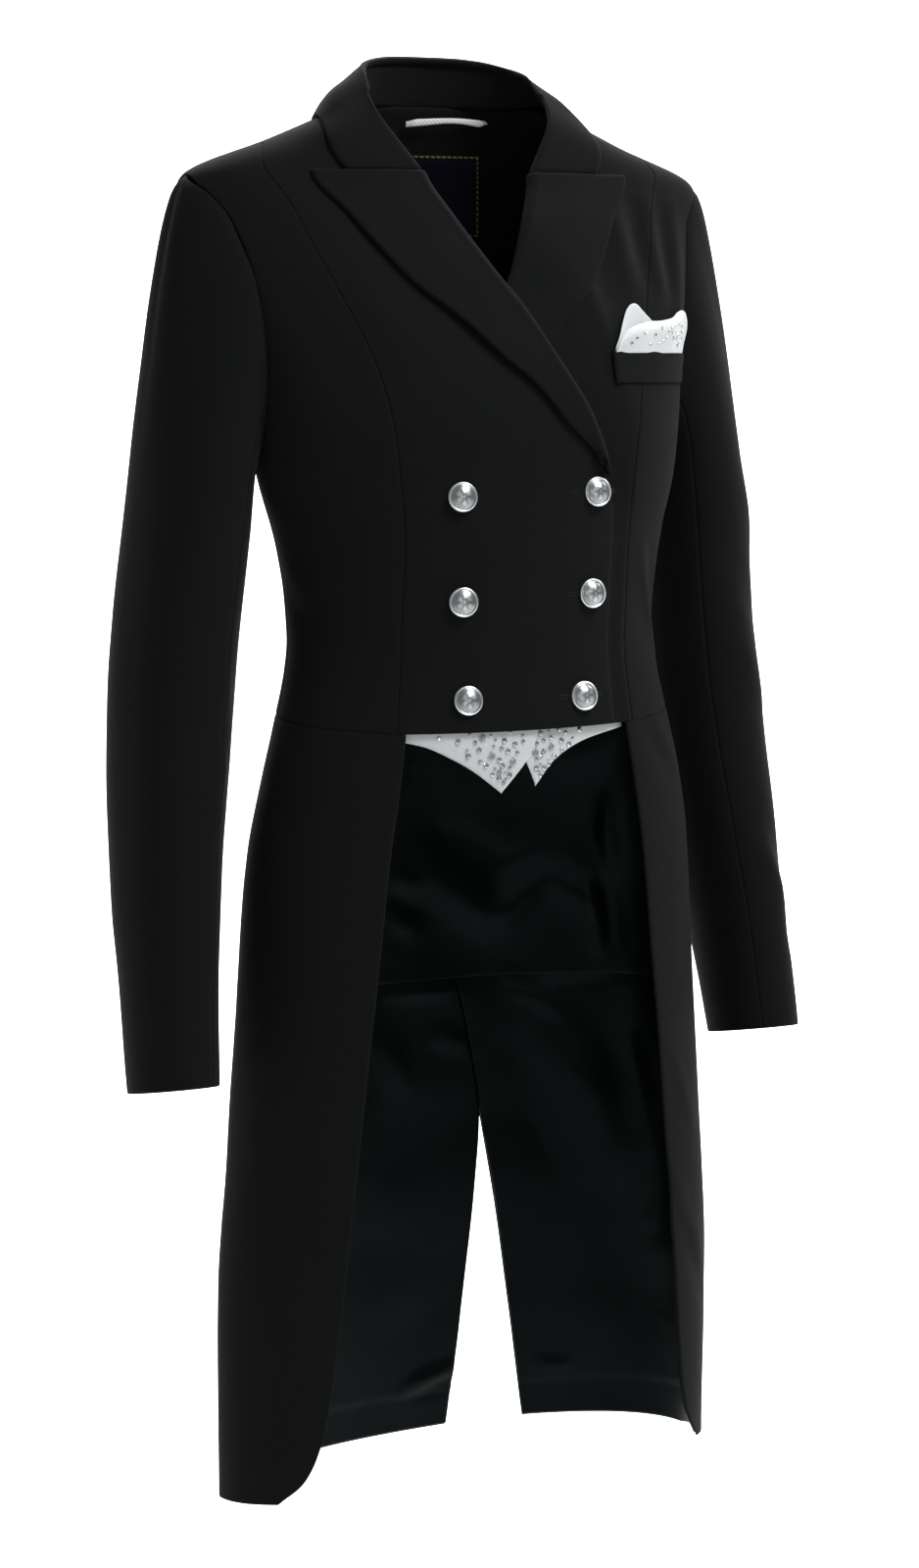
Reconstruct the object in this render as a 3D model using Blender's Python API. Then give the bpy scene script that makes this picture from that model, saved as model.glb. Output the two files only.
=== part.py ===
"""A ladies' dressage tailcoat in its worn shape, built from its cut pieces as closed cloth walls.

Metres, +Z up. The coat faces -Y and the wearer's left is +X. The origin lies on the middle plane,
at the height where the shoulder seams meet the neck.
"""
import math

import bmesh
import bpy
import numpy as np

# Cloth walls and the room between pieces
CLOTH = 0.0016
SATIN = 0.0010
GAP = 0.0003
SEAM = 0.00018
SINK = 0.0023
SINK_AT_LAPEL = 0.0050

# Buttons
BUTTON_RADIUS = 0.0100
BUTTON_HEIGHT = 0.0052
BUTTON_SPOTS = ((-1, 0.0486, -0.2587), (-1, 0.0460, -0.3280), (-1, 0.0424, -0.3935),
                (1, 0.0510, -0.2574), (1, 0.0498, -0.3254), (1, 0.0438, -0.3944))

# Trunk rings from hem to neck: height, half width, middle y, front depth, back depth, squareness
TRUNK = np.array([
    (-0.960, 0.1855, -0.022, 0.098, 0.074, 2.10),
    (-0.800, 0.1850, -0.024, 0.100, 0.078, 2.10),
    (-0.700, 0.1790, -0.026, 0.099, 0.082, 2.05),
    (-0.600, 0.1715, -0.028, 0.098, 0.086, 2.00),
    (-0.500, 0.1635, -0.033, 0.090, 0.090, 2.00),
    (-0.450, 0.1540, -0.037, 0.084, 0.090, 2.00),
    (-0.415, 0.1455, -0.037, 0.081, 0.087, 2.00),
    (-0.380, 0.1370, -0.035, 0.081, 0.083, 2.00),
    (-0.353, 0.1340, -0.033, 0.083, 0.082, 2.00),
    (-0.300, 0.1390, -0.032, 0.088, 0.088, 2.00),
    (-0.250, 0.1515, -0.030, 0.092, 0.098, 2.00),
    (-0.210, 0.1570, -0.025, 0.096, 0.104, 2.05),
    (-0.170, 0.1630, -0.018, 0.092, 0.103, 2.10),
    (-0.120, 0.1760, -0.007, 0.078, 0.096, 2.20),
    (-0.080, 0.1880, 0.003, 0.063, 0.082, 2.20),
    (-0.0485, 0.1900, 0.008, 0.049, 0.066, 2.20),
    (-0.024, 0.1300, 0.006, 0.040, 0.054, 2.20),
    (0.000, 0.0730, 0.004, 0.034, 0.046, 2.20)])

# Front and side seams, hem to shoulder: angle from the front and height of the front edge with its
# roll line, of the princess seam, and of the side seam with the front of the armhole
FRONT = np.array([
    (-29.5, -0.4150, 37.6, -0.4150, 96.0, -0.4080),
    (-30.2, -0.3800, 38.6, -0.3800, 96.0, -0.3760),
    (-30.2, -0.3300, 38.6, -0.3350, 97.0, -0.3330),
    (-27.8, -0.2750, 36.0, -0.2800, 99.0, -0.2800),
    (-22.6, -0.2430, 35.2, -0.2500, 102.0, -0.2430),
    (-14.5, -0.2030, 35.3, -0.2130, 88.0, -0.2320),
    (-6.6, -0.1671, 36.4, -0.1790, 79.0, -0.2020),
    (-0.5, -0.1350, 38.0, -0.1480, 72.0, -0.1650),
    (4.0, -0.1040, 40.0, -0.1180, 66.5, -0.1270),
    (8.0, -0.0740, 41.8, -0.0860, 64.0, -0.0890),
    (12.5, -0.0465, 44.5, -0.0570, 68.0, -0.0640),
    (25.0, -0.0270, 56.0, -0.0400, 78.0, -0.0530),
    (50.0, -0.0080, 74.0, -0.0300, 85.0, -0.0495),
    (90.0, -0.0010, 90.0, -0.0267, 90.0, -0.0485)])

# Back, hem to neck: the side seam with the back of the armhole, the blade line that ends at the
# neck's side, and the middle
BACK = np.array([
    (96.0, -0.4080, 138.0, -0.4058, 180.0, -0.4040),
    (96.0, -0.3760, 138.0, -0.3730, 180.0, -0.3700),
    (97.0, -0.3330, 138.0, -0.3270, 180.0, -0.3220),
    (99.0, -0.2800, 139.0, -0.2720, 180.0, -0.2650),
    (102.0, -0.2430, 141.0, -0.2300, 180.0, -0.2200),
    (110.0, -0.2290, 142.0, -0.2050, 180.0, -0.1900),
    (115.0, -0.2000, 143.0, -0.1760, 180.0, -0.1600),
    (116.0, -0.1600, 142.0, -0.1400, 180.0, -0.1250),
    (113.0, -0.1200, 138.0, -0.1050, 180.0, -0.0920),
    (107.0, -0.0830, 131.0, -0.0720, 180.0, -0.0630),
    (100.0, -0.0610, 122.0, -0.0450, 180.0, -0.0390),
    (95.0, -0.0520, 108.0, -0.0200, 180.0, -0.0180),
    (90.0, -0.0485, 90.0, -0.0010, 180.0, -0.0010)])

# Tails, waist to hem: height at the front edge and its angle, height at the side, height at the
# back and how far the back seam swings to the wearer's left, half opening of the vent
TAIL = np.array([
    (-0.4153, 34.8, -0.4083, -0.4043, 0.0, 0.0),
    (-0.4500, 35.0, -0.4460, -0.4440, 1.8, 0.0),
    (-0.5200, 36.5, -0.5180, -0.5180, 5.4, 0.0),
    (-0.6130, 39.0, -0.6130, -0.6130, 10.2, 0.0),
    (-0.6700, 40.1, -0.6660, -0.6660, 13.2, 0.0),
    (-0.7200, 41.1, -0.7120, -0.7120, 15.0, 0.0),
    (-0.7800, 42.4, -0.7700, -0.7700, 15.2, 2.3),
    (-0.8400, 44.6, -0.8350, -0.8350, 15.2, 4.9),
    (-0.8900, 47.8, -0.8960, -0.8930, 15.2, 7.3),
    (-0.9220, 53.0, -0.9340, -0.9290, 15.2, 8.8),
    (-0.9410, 62.0, -0.9500, -0.9470, 15.2, 9.6)])
SIDE_ANGLE = 96.0
BLADE_ANGLE = 138.0
CROSS_SEAM_ROW = 3

# Lapel, top button to gorge: roll line and outer edge as angle and height, stand-off of the edge
LAPEL = np.array([
    (-22.9, -0.2440, -21.5, -0.2400, 0.0009),
    (-19.5, -0.2270, -16.2, -0.2262, 0.0014),
    (-14.5, -0.2030, -9.2, -0.2108, 0.0022),
    (-10.2, -0.1840, -1.5, -0.1860, 0.0030),
    (-6.6, -0.1671, 5.6, -0.1666, 0.0034),
    (-2.8, -0.1470, 13.2, -0.1413, 0.0034),
    (1.2, -0.1230, 20.6, -0.1191, 0.0030),
    (4.8, -0.0980, 26.6, -0.0905, 0.0024),
    (8.2, -0.0720, 31.0, -0.0670, 0.0016),
    (11.2, -0.0470, 36.8, -0.0462, 0.0010)])

# Lapel across: distance from the roll line in metres, distance from the front's face
LAPEL_ROLL = ((0.0190, -0.0035), (0.0100, -0.0036), (0.0020, -0.0036), (-0.0015, -0.0026),
              (-0.0030, 0.0002), (-0.0022, 0.0030), (0.0012, 0.0046), (0.0060, 0.0044))

# Collar, middle back to gorge: neck seam x y z, top of the fold x y z, outer edge x y z
COLLAR = np.array([
    (0.0000, 0.0490, 0.0012, 0.0000, 0.0430, 0.0335, 0.0000, 0.0660, -0.0120),
    (0.0330, 0.0420, 0.0012, 0.0295, 0.0372, 0.0325, 0.0500, 0.0575, -0.0125),
    (0.0590, 0.0235, 0.0012, 0.0520, 0.0232, 0.0280, 0.0850, 0.0410, -0.0105),
    (0.0700, 0.0040, 0.0012, 0.0622, 0.0040, 0.0195, 0.0985, 0.0045, -0.0070),
    (0.0685, -0.0125, -0.0030, 0.0640, -0.0150, 0.0020, 0.1020, -0.0165, -0.0150),
    (0.0610, -0.0225, -0.0150, 0.0600, -0.0300, -0.0160, 0.0990, -0.0305, -0.0275),
    (0.0460, -0.0326, -0.0402, 0.0478, -0.0436, -0.0416, 0.0898, -0.0385, -0.0425)])

# Sleeve rings: height, middle x, middle y, half width, half depth, forward tilt in degrees
SLEEVE = np.array([
    (-0.285, 0.1920, 0.0110, 0.0400, 0.0600, 0.0),
    (-0.340, 0.1985, 0.0130, 0.0403, 0.0590, 1.0),
    (-0.400, 0.2045, 0.0115, 0.0400, 0.0580, 4.0),
    (-0.460, 0.2105, 0.0040, 0.0380, 0.0560, 8.0),
    (-0.520, 0.2165, -0.0080, 0.0345, 0.0520, 10.0),
    (-0.580, 0.2215, -0.0230, 0.0312, 0.0465, 11.5),
    (-0.653, 0.2255, -0.0395, 0.0292, 0.0410, 12.0)])

# Armhole loop from the shoulder over the front, the underarm and the back: turn round the sleeve,
# trunk angle, height, how far the sleeve head stands out, how high its swell reaches
ARMHOLE = np.array([
    (0.0, 90.0, -0.0485, 0.0120, 0.085),
    (30.0, 68.0, -0.0640, 0.0130, 0.080),
    (62.0, 65.0, -0.1060, 0.0130, 0.060),
    (90.0, 69.5, -0.1480, 0.0110, 0.045),
    (120.0, 79.0, -0.2020, 0.0080, 0.030),
    (150.0, 90.0, -0.2340, 0.0050, 0.015),
    (180.0, 102.0, -0.2430, 0.0040, 0.010),
    (210.0, 111.0, -0.2270, 0.0050, 0.020),
    (240.0, 115.5, -0.1900, 0.0090, 0.035),
    (270.0, 115.0, -0.1420, 0.0120, 0.050),
    (300.0, 111.0, -0.1080, 0.0135, 0.060),
    (332.0, 101.0, -0.0630, 0.0130, 0.080),
    (360.0, 90.0, -0.0485, 0.0120, 0.085)])
FRONT_SLEEVE_SEAM = 118.0
BACK_SLEEVE_SEAM = 238.0
SLEEVE_SEAM_ROOM = 0.22

# Breast welt and pocket square on the wearer's left: angle and height of the welt's two ends, foot
# to top, then of the upper edge of the square's back and front folds
WELT_ENDS = (((25.5, -0.1857), (24.4, -0.1644)), ((65.0, -0.1872), (65.5, -0.1672)))
SQUARE_FOOT = -0.1625
SQUARE_BACK = ((26.0, -0.1610), (31.0, -0.1375), (36.0, -0.1330), (41.0, -0.1440),
               (46.0, -0.1490), (52.0, -0.1530), (57.0, -0.1560))
SQUARE_FRONT = ((27.0, -0.1600), (34.0, -0.1500), (40.0, -0.1450), (46.0, -0.1440),
                (51.0, -0.1430), (56.0, -0.1400), (58.5, -0.1360))

# False waistcoat points: angle and height of the lower edge, and the height of their top
VEST_TOP = -0.4080
VEST_RIGHT = ((-36.0, -0.4200), (-27.0, -0.4255), (-16.0, -0.4392), (-7.1, -0.4564),
              (0.5, -0.4345), (4.0, -0.4175))
VEST_LEFT = ((-3.0, -0.4200), (0.5, -0.4380), (2.8, -0.4533), (9.3, -0.4359), (19.6, -0.4245),
             (36.0, -0.4180))

# Label and hanging loop inside the back of the neck
LABEL_ANGLES = (157.0, 162.0, 167.0, 172.0, 177.0, 182.0)
LABEL_FOOT, LABEL_TOP = -0.0800, -0.0300
LOOP_START, LOOP_END, LOOP_WIDTH = 151.0, 185.0, 0.0055


def smooth(table, at):
    """Value of every column of a table, read along its first column as a smooth curve."""
    keys = table[:, 0]
    last = len(keys) - 1
    i = min(max(int(np.searchsorted(keys, at)) - 1, 0), last - 1)

    def slope(k):
        low, high = max(k - 1, 0), min(k + 1, last)
        return (table[high] - table[low]) / (keys[high] - keys[low])

    h = keys[i + 1] - keys[i]
    u = (at - keys[i]) / h
    return ((2 * u**3 - 3 * u**2 + 1) * table[i] + (u**3 - 2 * u**2 + u) * h * slope(i)
            + (3 * u**2 - 2 * u**3) * table[i + 1] + (u**3 - u**2) * h * slope(i + 1))


def along(table, parts, corner=0, columns=()):
    """Rows of a table with the steps between them divided; some columns may turn at a corner row."""
    keyed = np.column_stack([np.arange(len(table), dtype=float), table])
    found = np.array([smooth(keyed, at)[1:]
                      for at in np.linspace(0, len(table) - 1, (len(table) - 1) * parts + 1)])
    if corner:
        turned = np.concatenate([along(table[:corner + 1], parts), along(table[corner:], parts)[1:]])
        found[:, columns] = turned[:, columns]
    return found


def trunk_point(angle, height):
    """Point of the trunk's surface at an angle from the front and a height."""
    _, half, mid, front, back, square = smooth(TRUNK, min(max(height, TRUNK[0, 0]), 0.0))
    s, c = math.sin(math.radians(angle)), math.cos(math.radians(angle))
    depth = front if c > 0 else back
    return np.array([math.copysign(half * abs(s) ** (2 / square), s),
                     mid - math.copysign(depth * abs(c) ** (2 / square), c), height])


def trunk_normal(angle, height):
    """Outward direction of the trunk's surface."""
    height = min(max(height, TRUNK[0, 0] + 0.0012), -0.0012)
    across = trunk_point(angle + 0.6, height) - trunk_point(angle - 0.6, height)
    upward = trunk_point(angle, height + 0.001) - trunk_point(angle, height - 0.001)
    found = np.cross(across, upward)
    return found / np.linalg.norm(found)


def grid_normals(grid):
    """Direction across a grid of points at each point."""
    rows = np.gradient(grid, axis=0)
    cols = np.gradient(grid, axis=1)
    found = np.cross(cols, rows)
    return found / np.maximum(np.linalg.norm(found, axis=2, keepdims=True), 1e-9)


def material(name, rgb, roughness, metallic=0.0):
    """A plain Principled material, made once."""
    if name in bpy.data.materials:
        return bpy.data.materials[name]
    made = bpy.data.materials.new(name)
    made.use_nodes = True
    shader = made.node_tree.nodes["Principled BSDF"]
    shader.inputs["Base Color"].default_value = (*rgb, 1.0)
    shader.inputs["Roughness"].default_value = roughness
    shader.inputs["Metallic"].default_value = metallic
    return made


def new_object(name, mesh_data, surface, side=1):
    """Puts a bmesh into the scene under a node name, mirrored for the wearer's right."""
    if side < 0:
        for vert in mesh_data.verts:
            vert.co.x = -vert.co.x
    bmesh.ops.recalc_face_normals(mesh_data, faces=mesh_data.faces)
    mesh = bpy.data.meshes.new(name)
    mesh_data.to_mesh(mesh)
    mesh_data.free()
    mesh.materials.append(surface)
    piece = bpy.data.objects.new(name, mesh)
    bpy.context.collection.objects.link(piece)
    return piece


def wall(name, face, behind, surface, side=1):
    """A closed wall between two matching grids of points."""
    made = bmesh.new()
    rows, cols = face.shape[:2]
    sheets = [[[made.verts.new(grid[r, c]) for c in range(cols)] for r in range(rows)]
              for grid in (face, behind)]
    front, rear = sheets
    for r in range(rows - 1):
        for c in range(cols - 1):
            made.faces.new((front[r][c], front[r][c + 1], front[r + 1][c + 1], front[r + 1][c]))
            made.faces.new((rear[r][c], rear[r + 1][c], rear[r + 1][c + 1], rear[r][c + 1]))
    rim = ([(0, c) for c in range(cols)] + [(r, cols - 1) for r in range(1, rows)]
           + [(rows - 1, c) for c in range(cols - 2, -1, -1)]
           + [(r, 0) for r in range(rows - 2, 0, -1)])
    for (r, c), (r2, c2) in zip(rim, rim[1:] + rim[:1]):
        made.faces.new((front[r][c], rear[r][c], rear[r2][c2], front[r2][c2]))
    return new_object(name, made, surface, side)


def trimmed(grid, room=SEAM):
    """A grid drawn in from its rim by the room left at a seam."""
    grid = grid.copy()
    for edge, inner in ((0, 1), (-1, -2)):
        step = grid[inner] - grid[edge]
        grid[edge] += step / np.linalg.norm(step, axis=1, keepdims=True) * room
    for edge, inner in ((0, 1), (-1, -2)):
        step = grid[:, inner] - grid[:, edge]
        grid[:, edge] += step / np.linalg.norm(step, axis=1, keepdims=True) * room
    return grid


def laid(lines, counts, outer, thick, room=SEAM):
    """Face and rear grids on the trunk between seam lines, each a list of angle and height."""
    spans = []
    for (low, high), count in zip(zip(lines, lines[1:]), counts):
        shares = np.linspace(0, 1, count + 1)[(1 if spans else 0):]
        spans += [low + (high - low) * share for share in shares]
    cells = np.stack(spans, axis=1)
    points = np.array([[trunk_point(*cell) for cell in row] for row in cells])
    normals = np.array([[trunk_normal(*cell) for cell in row] for row in cells])
    points = trimmed(points, room)
    level = outer(cells) if callable(outer) else np.full(cells.shape[:2], outer)
    return points + normals * level[..., None], points + normals * (level - thick)[..., None]


def eased(value, low, high):
    """A soft step from nought at low to one at high."""
    share = np.clip((value - low) / (high - low), 0, 1)
    return share * share * (3 - 2 * share)


def sunk(cells):
    """How far the left front lies under the right one, which covers it up to its own edge."""
    angle, height = cells[..., 0], cells[..., 1]
    cover = -np.interp(height, FRONT[:, 1], FRONT[:, 0])
    level = SINK + SINK_AT_LAPEL * (1 - eased(-height, 0.245, 0.285))
    return (level * eased(-height, 0.070, 0.125)
            * (1 - eased(angle, cover + 1.5, np.minimum(cover + 20.0, 37.4))))


def fronts(cloth):
    """The two fronts, cut from the front edge to the princess seam; the right one lies on top."""
    rows = along(FRONT, 2, 4, [4, 5])
    lines = [rows[:, 0:2], rows[:, 2:4]]
    face, rear = laid(lines, [9], 0.0, CLOTH)
    wall("front_right", face, rear, cloth, -1)
    face, rear = laid(lines, [9], lambda cells: -sunk(cells), CLOTH)
    wall("front_left", face, rear, cloth, 1)


def side_fronts(cloth):
    """Side fronts, cut from the princess seam to the side seam and the armhole."""
    rows = along(FRONT, 2, 4, [4, 5])
    face, rear = laid([rows[:, 2:4], rows[:, 4:6]], [6], 0.0, CLOTH)
    for name, side in (("side_right", -1), ("side_left", 1)):
        wall(name, face, rear, cloth, side)


def backs(cloth):
    """Two backs, joined down the middle."""
    rows = along(BACK, 2, 4, [0, 1])
    face, rear = laid([rows[:, 0:2], rows[:, 2:4], rows[:, 4:6]], [4, 4], 0.0, CLOTH)
    for name, side in (("back_right", -1), ("back_left", 1)):
        wall(name, face, rear, cloth, side)


def tail_lines(side):
    """Front edge, side line, blade line and back edge of one tail."""
    found = along(TAIL, 2)
    back = 180.0 - side * found[:, 4] - np.maximum(found[:, 5], 0.0)
    share = (BLADE_ANGLE - SIDE_ANGLE) / (180.0 - SIDE_ANGLE)
    blade = SIDE_ANGLE + (back - SIDE_ANGLE) * share
    return [np.column_stack([found[:, 1], found[:, 0]]),
            np.column_stack([np.full(len(found), SIDE_ANGLE), found[:, 2]]),
            np.column_stack([blade, found[:, 2] + (found[:, 3] - found[:, 2]) * share]),
            np.column_stack([back, found[:, 3]])]


def tails(cloth):
    """Two tails from the waist seam to the hem, open at the back from the vent down."""
    for name, side in (("tail_right", -1), ("tail_left", 1)):
        face, rear = laid(tail_lines(side), [5, 4, 4], 0.0, CLOTH)
        wall(name, face, rear, cloth, side)


def blended(grid, row=None, col=None, share=0.5):
    """A grid whose edge row or column moves in towards its neighbour."""
    grid = grid.copy()
    if row is not None:
        inner = 1 if row == 0 else -2
        grid[row] += (grid[inner] - grid[row]) * share
    if col is not None:
        inner = 1 if col == 0 else -2
        grid[:, col] += (grid[:, inner] - grid[:, col]) * share
    return grid


def linings(satin):
    """Satin behind the back, behind the tails down to the cross seam, and in each tail below it."""
    behind = -CLOTH - 2 * GAP - 0.0004
    rows = along(BACK, 2, 4, [0, 1])[:-2]
    rows = np.concatenate([rows[:8], rows[8::2]])
    lines = [rows[:, 0:2], rows[:, 2:4], rows[:, 4:6]]
    halves = [blended(grid, col=0, share=0.06) for grid in laid(
        lines, [4, 4], lambda cells: behind - 0.0024 * eased(cells[..., 1], -0.26, -0.12), SATIN, 0)]
    face, rear = (trimmed(np.concatenate([half, half[:, -2::-1] * (-1, 1, 1)], axis=1))
                  for half in halves)
    wall("lining_back", face, rear, satin)
    seam = 2 * CROSS_SEAM_ROW
    skirt, tail = [], []
    for side in (1, -1):
        sheets = [blended(grid, col=0, share=0.55) * (side, 1, 1)
                  for grid in laid(tail_lines(side), [5, 4, 4], behind, SATIN, 0)]
        skirt.append([grid[:seam + 1] for grid in sheets])
        lower = [trimmed(grid[seam::2]) for grid in sheets]
        for grid in lower:
            inward = grid[:, -2] - grid[:, -1]
            opened = eased(-grid[:, -1, 2], 0.705, 0.740)[:, None]
            grid[:, -1] += inward * opened * 0.40
        tail.append([blended(grid, row=-1, share=0.75) for grid in lower])
    face, rear = (trimmed(np.concatenate([one, two[:, -2::-1]], axis=1))
                  for one, two in zip(skirt[0], skirt[1]))
    wall("lining_skirt", face, rear, satin)
    for name, (face, rear) in zip(("lining_tail_left", "lining_tail_right"), tail):
        wall(name, face, rear, satin)


def lapels(cloth):
    """Peaked lapels, turned at the roll line round the front's edge and lying on the front."""
    found = along(LAPEL, 2)
    count = 6
    for name, side in (("lapel_left", 1), ("lapel_right", -1)):
        grid = []
        for roll_angle, roll_height, edge_angle, edge_height, stand in found:
            roll, edge = np.array([roll_angle, roll_height]), np.array([edge_angle, edge_height])
            flat = eased(-roll_height, 0.075, 0.120) if side > 0 else 0.0
            width = np.linalg.norm(trunk_point(*edge) - trunk_point(*roll))
            reach = min(1.0, 0.75 * width / 0.0190)
            line = [(x * reach if x > 0 else x, min(y, y + (0.0018 - y) * flat)) for x, y in LAPEL_ROLL]
            last = line[-1]
            stand += (0.0009 - stand) * flat
            for k in range(1, count + 1):
                share = k / count
                line.append((last[0] + (width - last[0]) * share,
                             last[1] + (stand + 0.0009 - last[1]) * eased(share, 0, 1)))
            row = []
            for out, off in line:
                cell = roll + (edge - roll) * out / width
                level = off - (sunk(cell) if side > 0 else 0.0)
                row.append(trunk_point(*cell) + trunk_normal(*cell) * level)
            grid.append(row)
        grid = np.array(grid)
        half = grid_normals(grid) * CLOTH / 2
        wall(name, grid + half, grid - half, cloth, side)


def collar(cloth):
    """One collar round the neck: the stand rises from the neck seam and the fall turns over it."""
    half = along(COLLAR, 2)
    grid = []
    for line in half:
        seam, fold, edge = line[0:3], line[3:6], line[6:9]
        out = (edge - seam) * (1, 1, 0)
        out /= np.linalg.norm(out)
        rise = np.linalg.norm(fold - seam)
        round_by = min(0.0032, rise * 0.35 + 0.0008)
        rest = edge - fold
        row = [seam, fold - (0, 0, round_by * 0.9),
               fold + out * round_by * 0.15, fold + out * round_by * 0.9 + (0, 0, round_by * 0.25),
               fold + out * round_by * 1.9 - (0, 0, round_by * 0.35)]
        for share in (0.30, 0.52, 0.76, 1.0):
            bulge = 0.0045 * math.sin(math.pi * share) * min(1, rise / 0.02)
            row.append(fold + rest * share + np.array([out[0], out[1], 0.6]) * bulge)
        grid.append(row)
    left = np.array(grid)
    right = left[:0:-1] * (-1, 1, 1)
    whole = np.concatenate([right, left])
    half_wall = grid_normals(whole) * CLOTH / 2
    wall("collar", whole + half_wall, whole - half_wall, cloth)


def sleeve_cells(start, end, count):
    """Points of a sleeve from armhole to cuff between two turns, in degrees."""
    below = along(SLEEVE, 1)
    grid = []
    for turn in np.linspace(start, end, count):
        _, angle, height, stand, swell = smooth(ARMHOLE, turn % 360)
        rad = math.radians(turn)
        column = []
        seam = trunk_point(angle, height)
        leave = np.array([1.0, -0.25 * math.sin(rad), 0.12 * math.cos(rad)])
        leave /= np.linalg.norm(leave)
        for z, x, y, wide, deep, tilt in below:
            dx, dy = wide * math.cos(rad), -deep * math.sin(rad)
            column.append(np.array([x + dx, y + dy, z - dy * math.tan(math.radians(tilt))]))
        goal = column[0]
        axis = column[0] - column[1]
        axis /= np.linalg.norm(axis)
        first = seam + leave * (2 * GAP + 0.0008 - 0.0008 * math.cos(rad))
        pull, push = first + leave * stand, goal + axis * swell
        head = []
        for u in (0.0, 0.10, 0.22, 0.38, 0.56, 0.78):
            head.append((1 - u)**3 * first + 3 * (1 - u)**2 * u * pull
                        + 3 * (1 - u) * u**2 * push + u**3 * goal)
        grid.append(head + column)
    return np.array(grid).transpose(1, 0, 2)


def sleeves(cloth):
    """Upper and under sleeve of each arm, joined by a front and a back seam."""
    room = SLEEVE_SEAM_ROOM
    upper = sleeve_cells(BACK_SLEEVE_SEAM - 360 + room, FRONT_SLEEVE_SEAM - room, 13)
    under = sleeve_cells(FRONT_SLEEVE_SEAM + room, BACK_SLEEVE_SEAM - room, 8)
    for kind, grid in (("upper_sleeve", upper), ("under_sleeve", under)):
        inside = grid_normals(grid) * CLOTH
        for tag, side in (("right", -1), ("left", 1)):
            wall(f"{kind}_{tag}", grid, grid + inside, cloth, side)


def strip(name, edge, feet, tops, level, thick, steps, surface):
    """A small piece laid along the trunk between a foot and a top at each of its angles."""
    feet, tops = np.broadcast_to(feet, len(edge)), np.broadcast_to(tops, len(edge))
    lines = [np.array([(a, low), (a, high)]) for a, low, high in zip(edge, feet, tops)]
    face, rear = laid(lines, [steps] * (len(lines) - 1), level, thick, 0.0)
    wall(name, face, rear, surface)


def pocket(cloth, white):
    """Breast welt on the wearer's left, with a pocket square standing out of it."""
    face, rear = laid([np.array(end) for end in WELT_ENDS], [9], GAP + 0.0017, 0.0014, 0.0)
    wall("pocket_welt", face, rear, cloth)
    for name, fold, level in (("pocket_square_back", SQUARE_BACK, GAP + 0.0012),
                              ("pocket_square_front", SQUARE_FRONT, GAP + 0.0026)):
        angles, tops = np.array(fold).T
        strip(name, angles, SQUARE_FOOT, tops, level, 0.0009, 2, white)


def vest_points(white):
    """Two false waistcoat points that hang from behind the front hem, right over left."""
    for name, edge, level in (("vest_point_right", VEST_RIGHT, -0.0043),
                              ("vest_point_left", VEST_LEFT, -0.0059)):
        angles, feet = np.array(edge).T
        strip(name, angles, feet, VEST_TOP, level, 0.0012, 3, white)


def buttons(silver):
    """Six domed buttons with a raised rim, turned as one body each."""
    profile = ((0.0, 0.0), (0.88, 0.0), (1.0, 0.18), (0.95, 0.40), (0.84, 0.42), (0.48, 0.86),
               (0.0, 1.0))
    turns = 16
    for n, (side, x, z) in enumerate(BUTTON_SPOTS, 1):
        half, mid, front, square = smooth(TRUNK, z)[[1, 2, 3, 5]]
        angle = math.degrees(math.asin((x / half) ** (square / 2)))
        out = trunk_normal(angle, z)
        seat = trunk_point(angle, z) + out * (GAP + 0.0002)
        across = np.cross(out, (0, 0, 1))
        across /= np.linalg.norm(across)
        up = np.cross(across, out)
        made = bmesh.new()
        rings = []
        for radius, height in profile:
            centre = seat + out * BUTTON_HEIGHT * height
            if radius == 0:
                rings.append([made.verts.new(centre)])
                continue
            ring = []
            for k in range(turns):
                turn = 2 * math.pi * k / turns
                ring.append(made.verts.new(centre + BUTTON_RADIUS * radius
                                           * (across * math.cos(turn) + up * math.sin(turn))))
            rings.append(ring)
        for low, high in zip(rings, rings[1:]):
            for k in range(turns):
                j = (k + 1) % turns
                corners = (low[k % len(low)], low[j % len(low)],
                           high[j % len(high)], high[k % len(high)])
                made.faces.new(list(dict.fromkeys(corners)))
        new_object(f"button_{n}", made, silver, side)


def neck_inside(navy, tape):
    """Label and hanging loop inside the back of the neck."""
    strip("neck_label", LABEL_ANGLES, LABEL_FOOT, LABEL_TOP, -CLOTH - SATIN - 0.0051, 0.0007, 1, navy)
    rows = []
    for share in np.linspace(0, 1, 13):
        angle = LOOP_START + (LOOP_END - LOOP_START) * share
        lift = 0.0030 * math.sin(math.pi * share)
        out = trunk_normal(angle, -0.0100) * (1, 1, 0)
        base = trunk_point(angle, -0.0120) - out * (0.0095 + lift)
        rows.append([base, base + (0, 0, LOOP_WIDTH) - out * 0.0004])
    grid = np.array(rows).transpose(1, 0, 2)
    back = grid.copy()
    back[..., 1] += 0.0008
    wall("hanging_loop", grid, back, tape)


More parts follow.
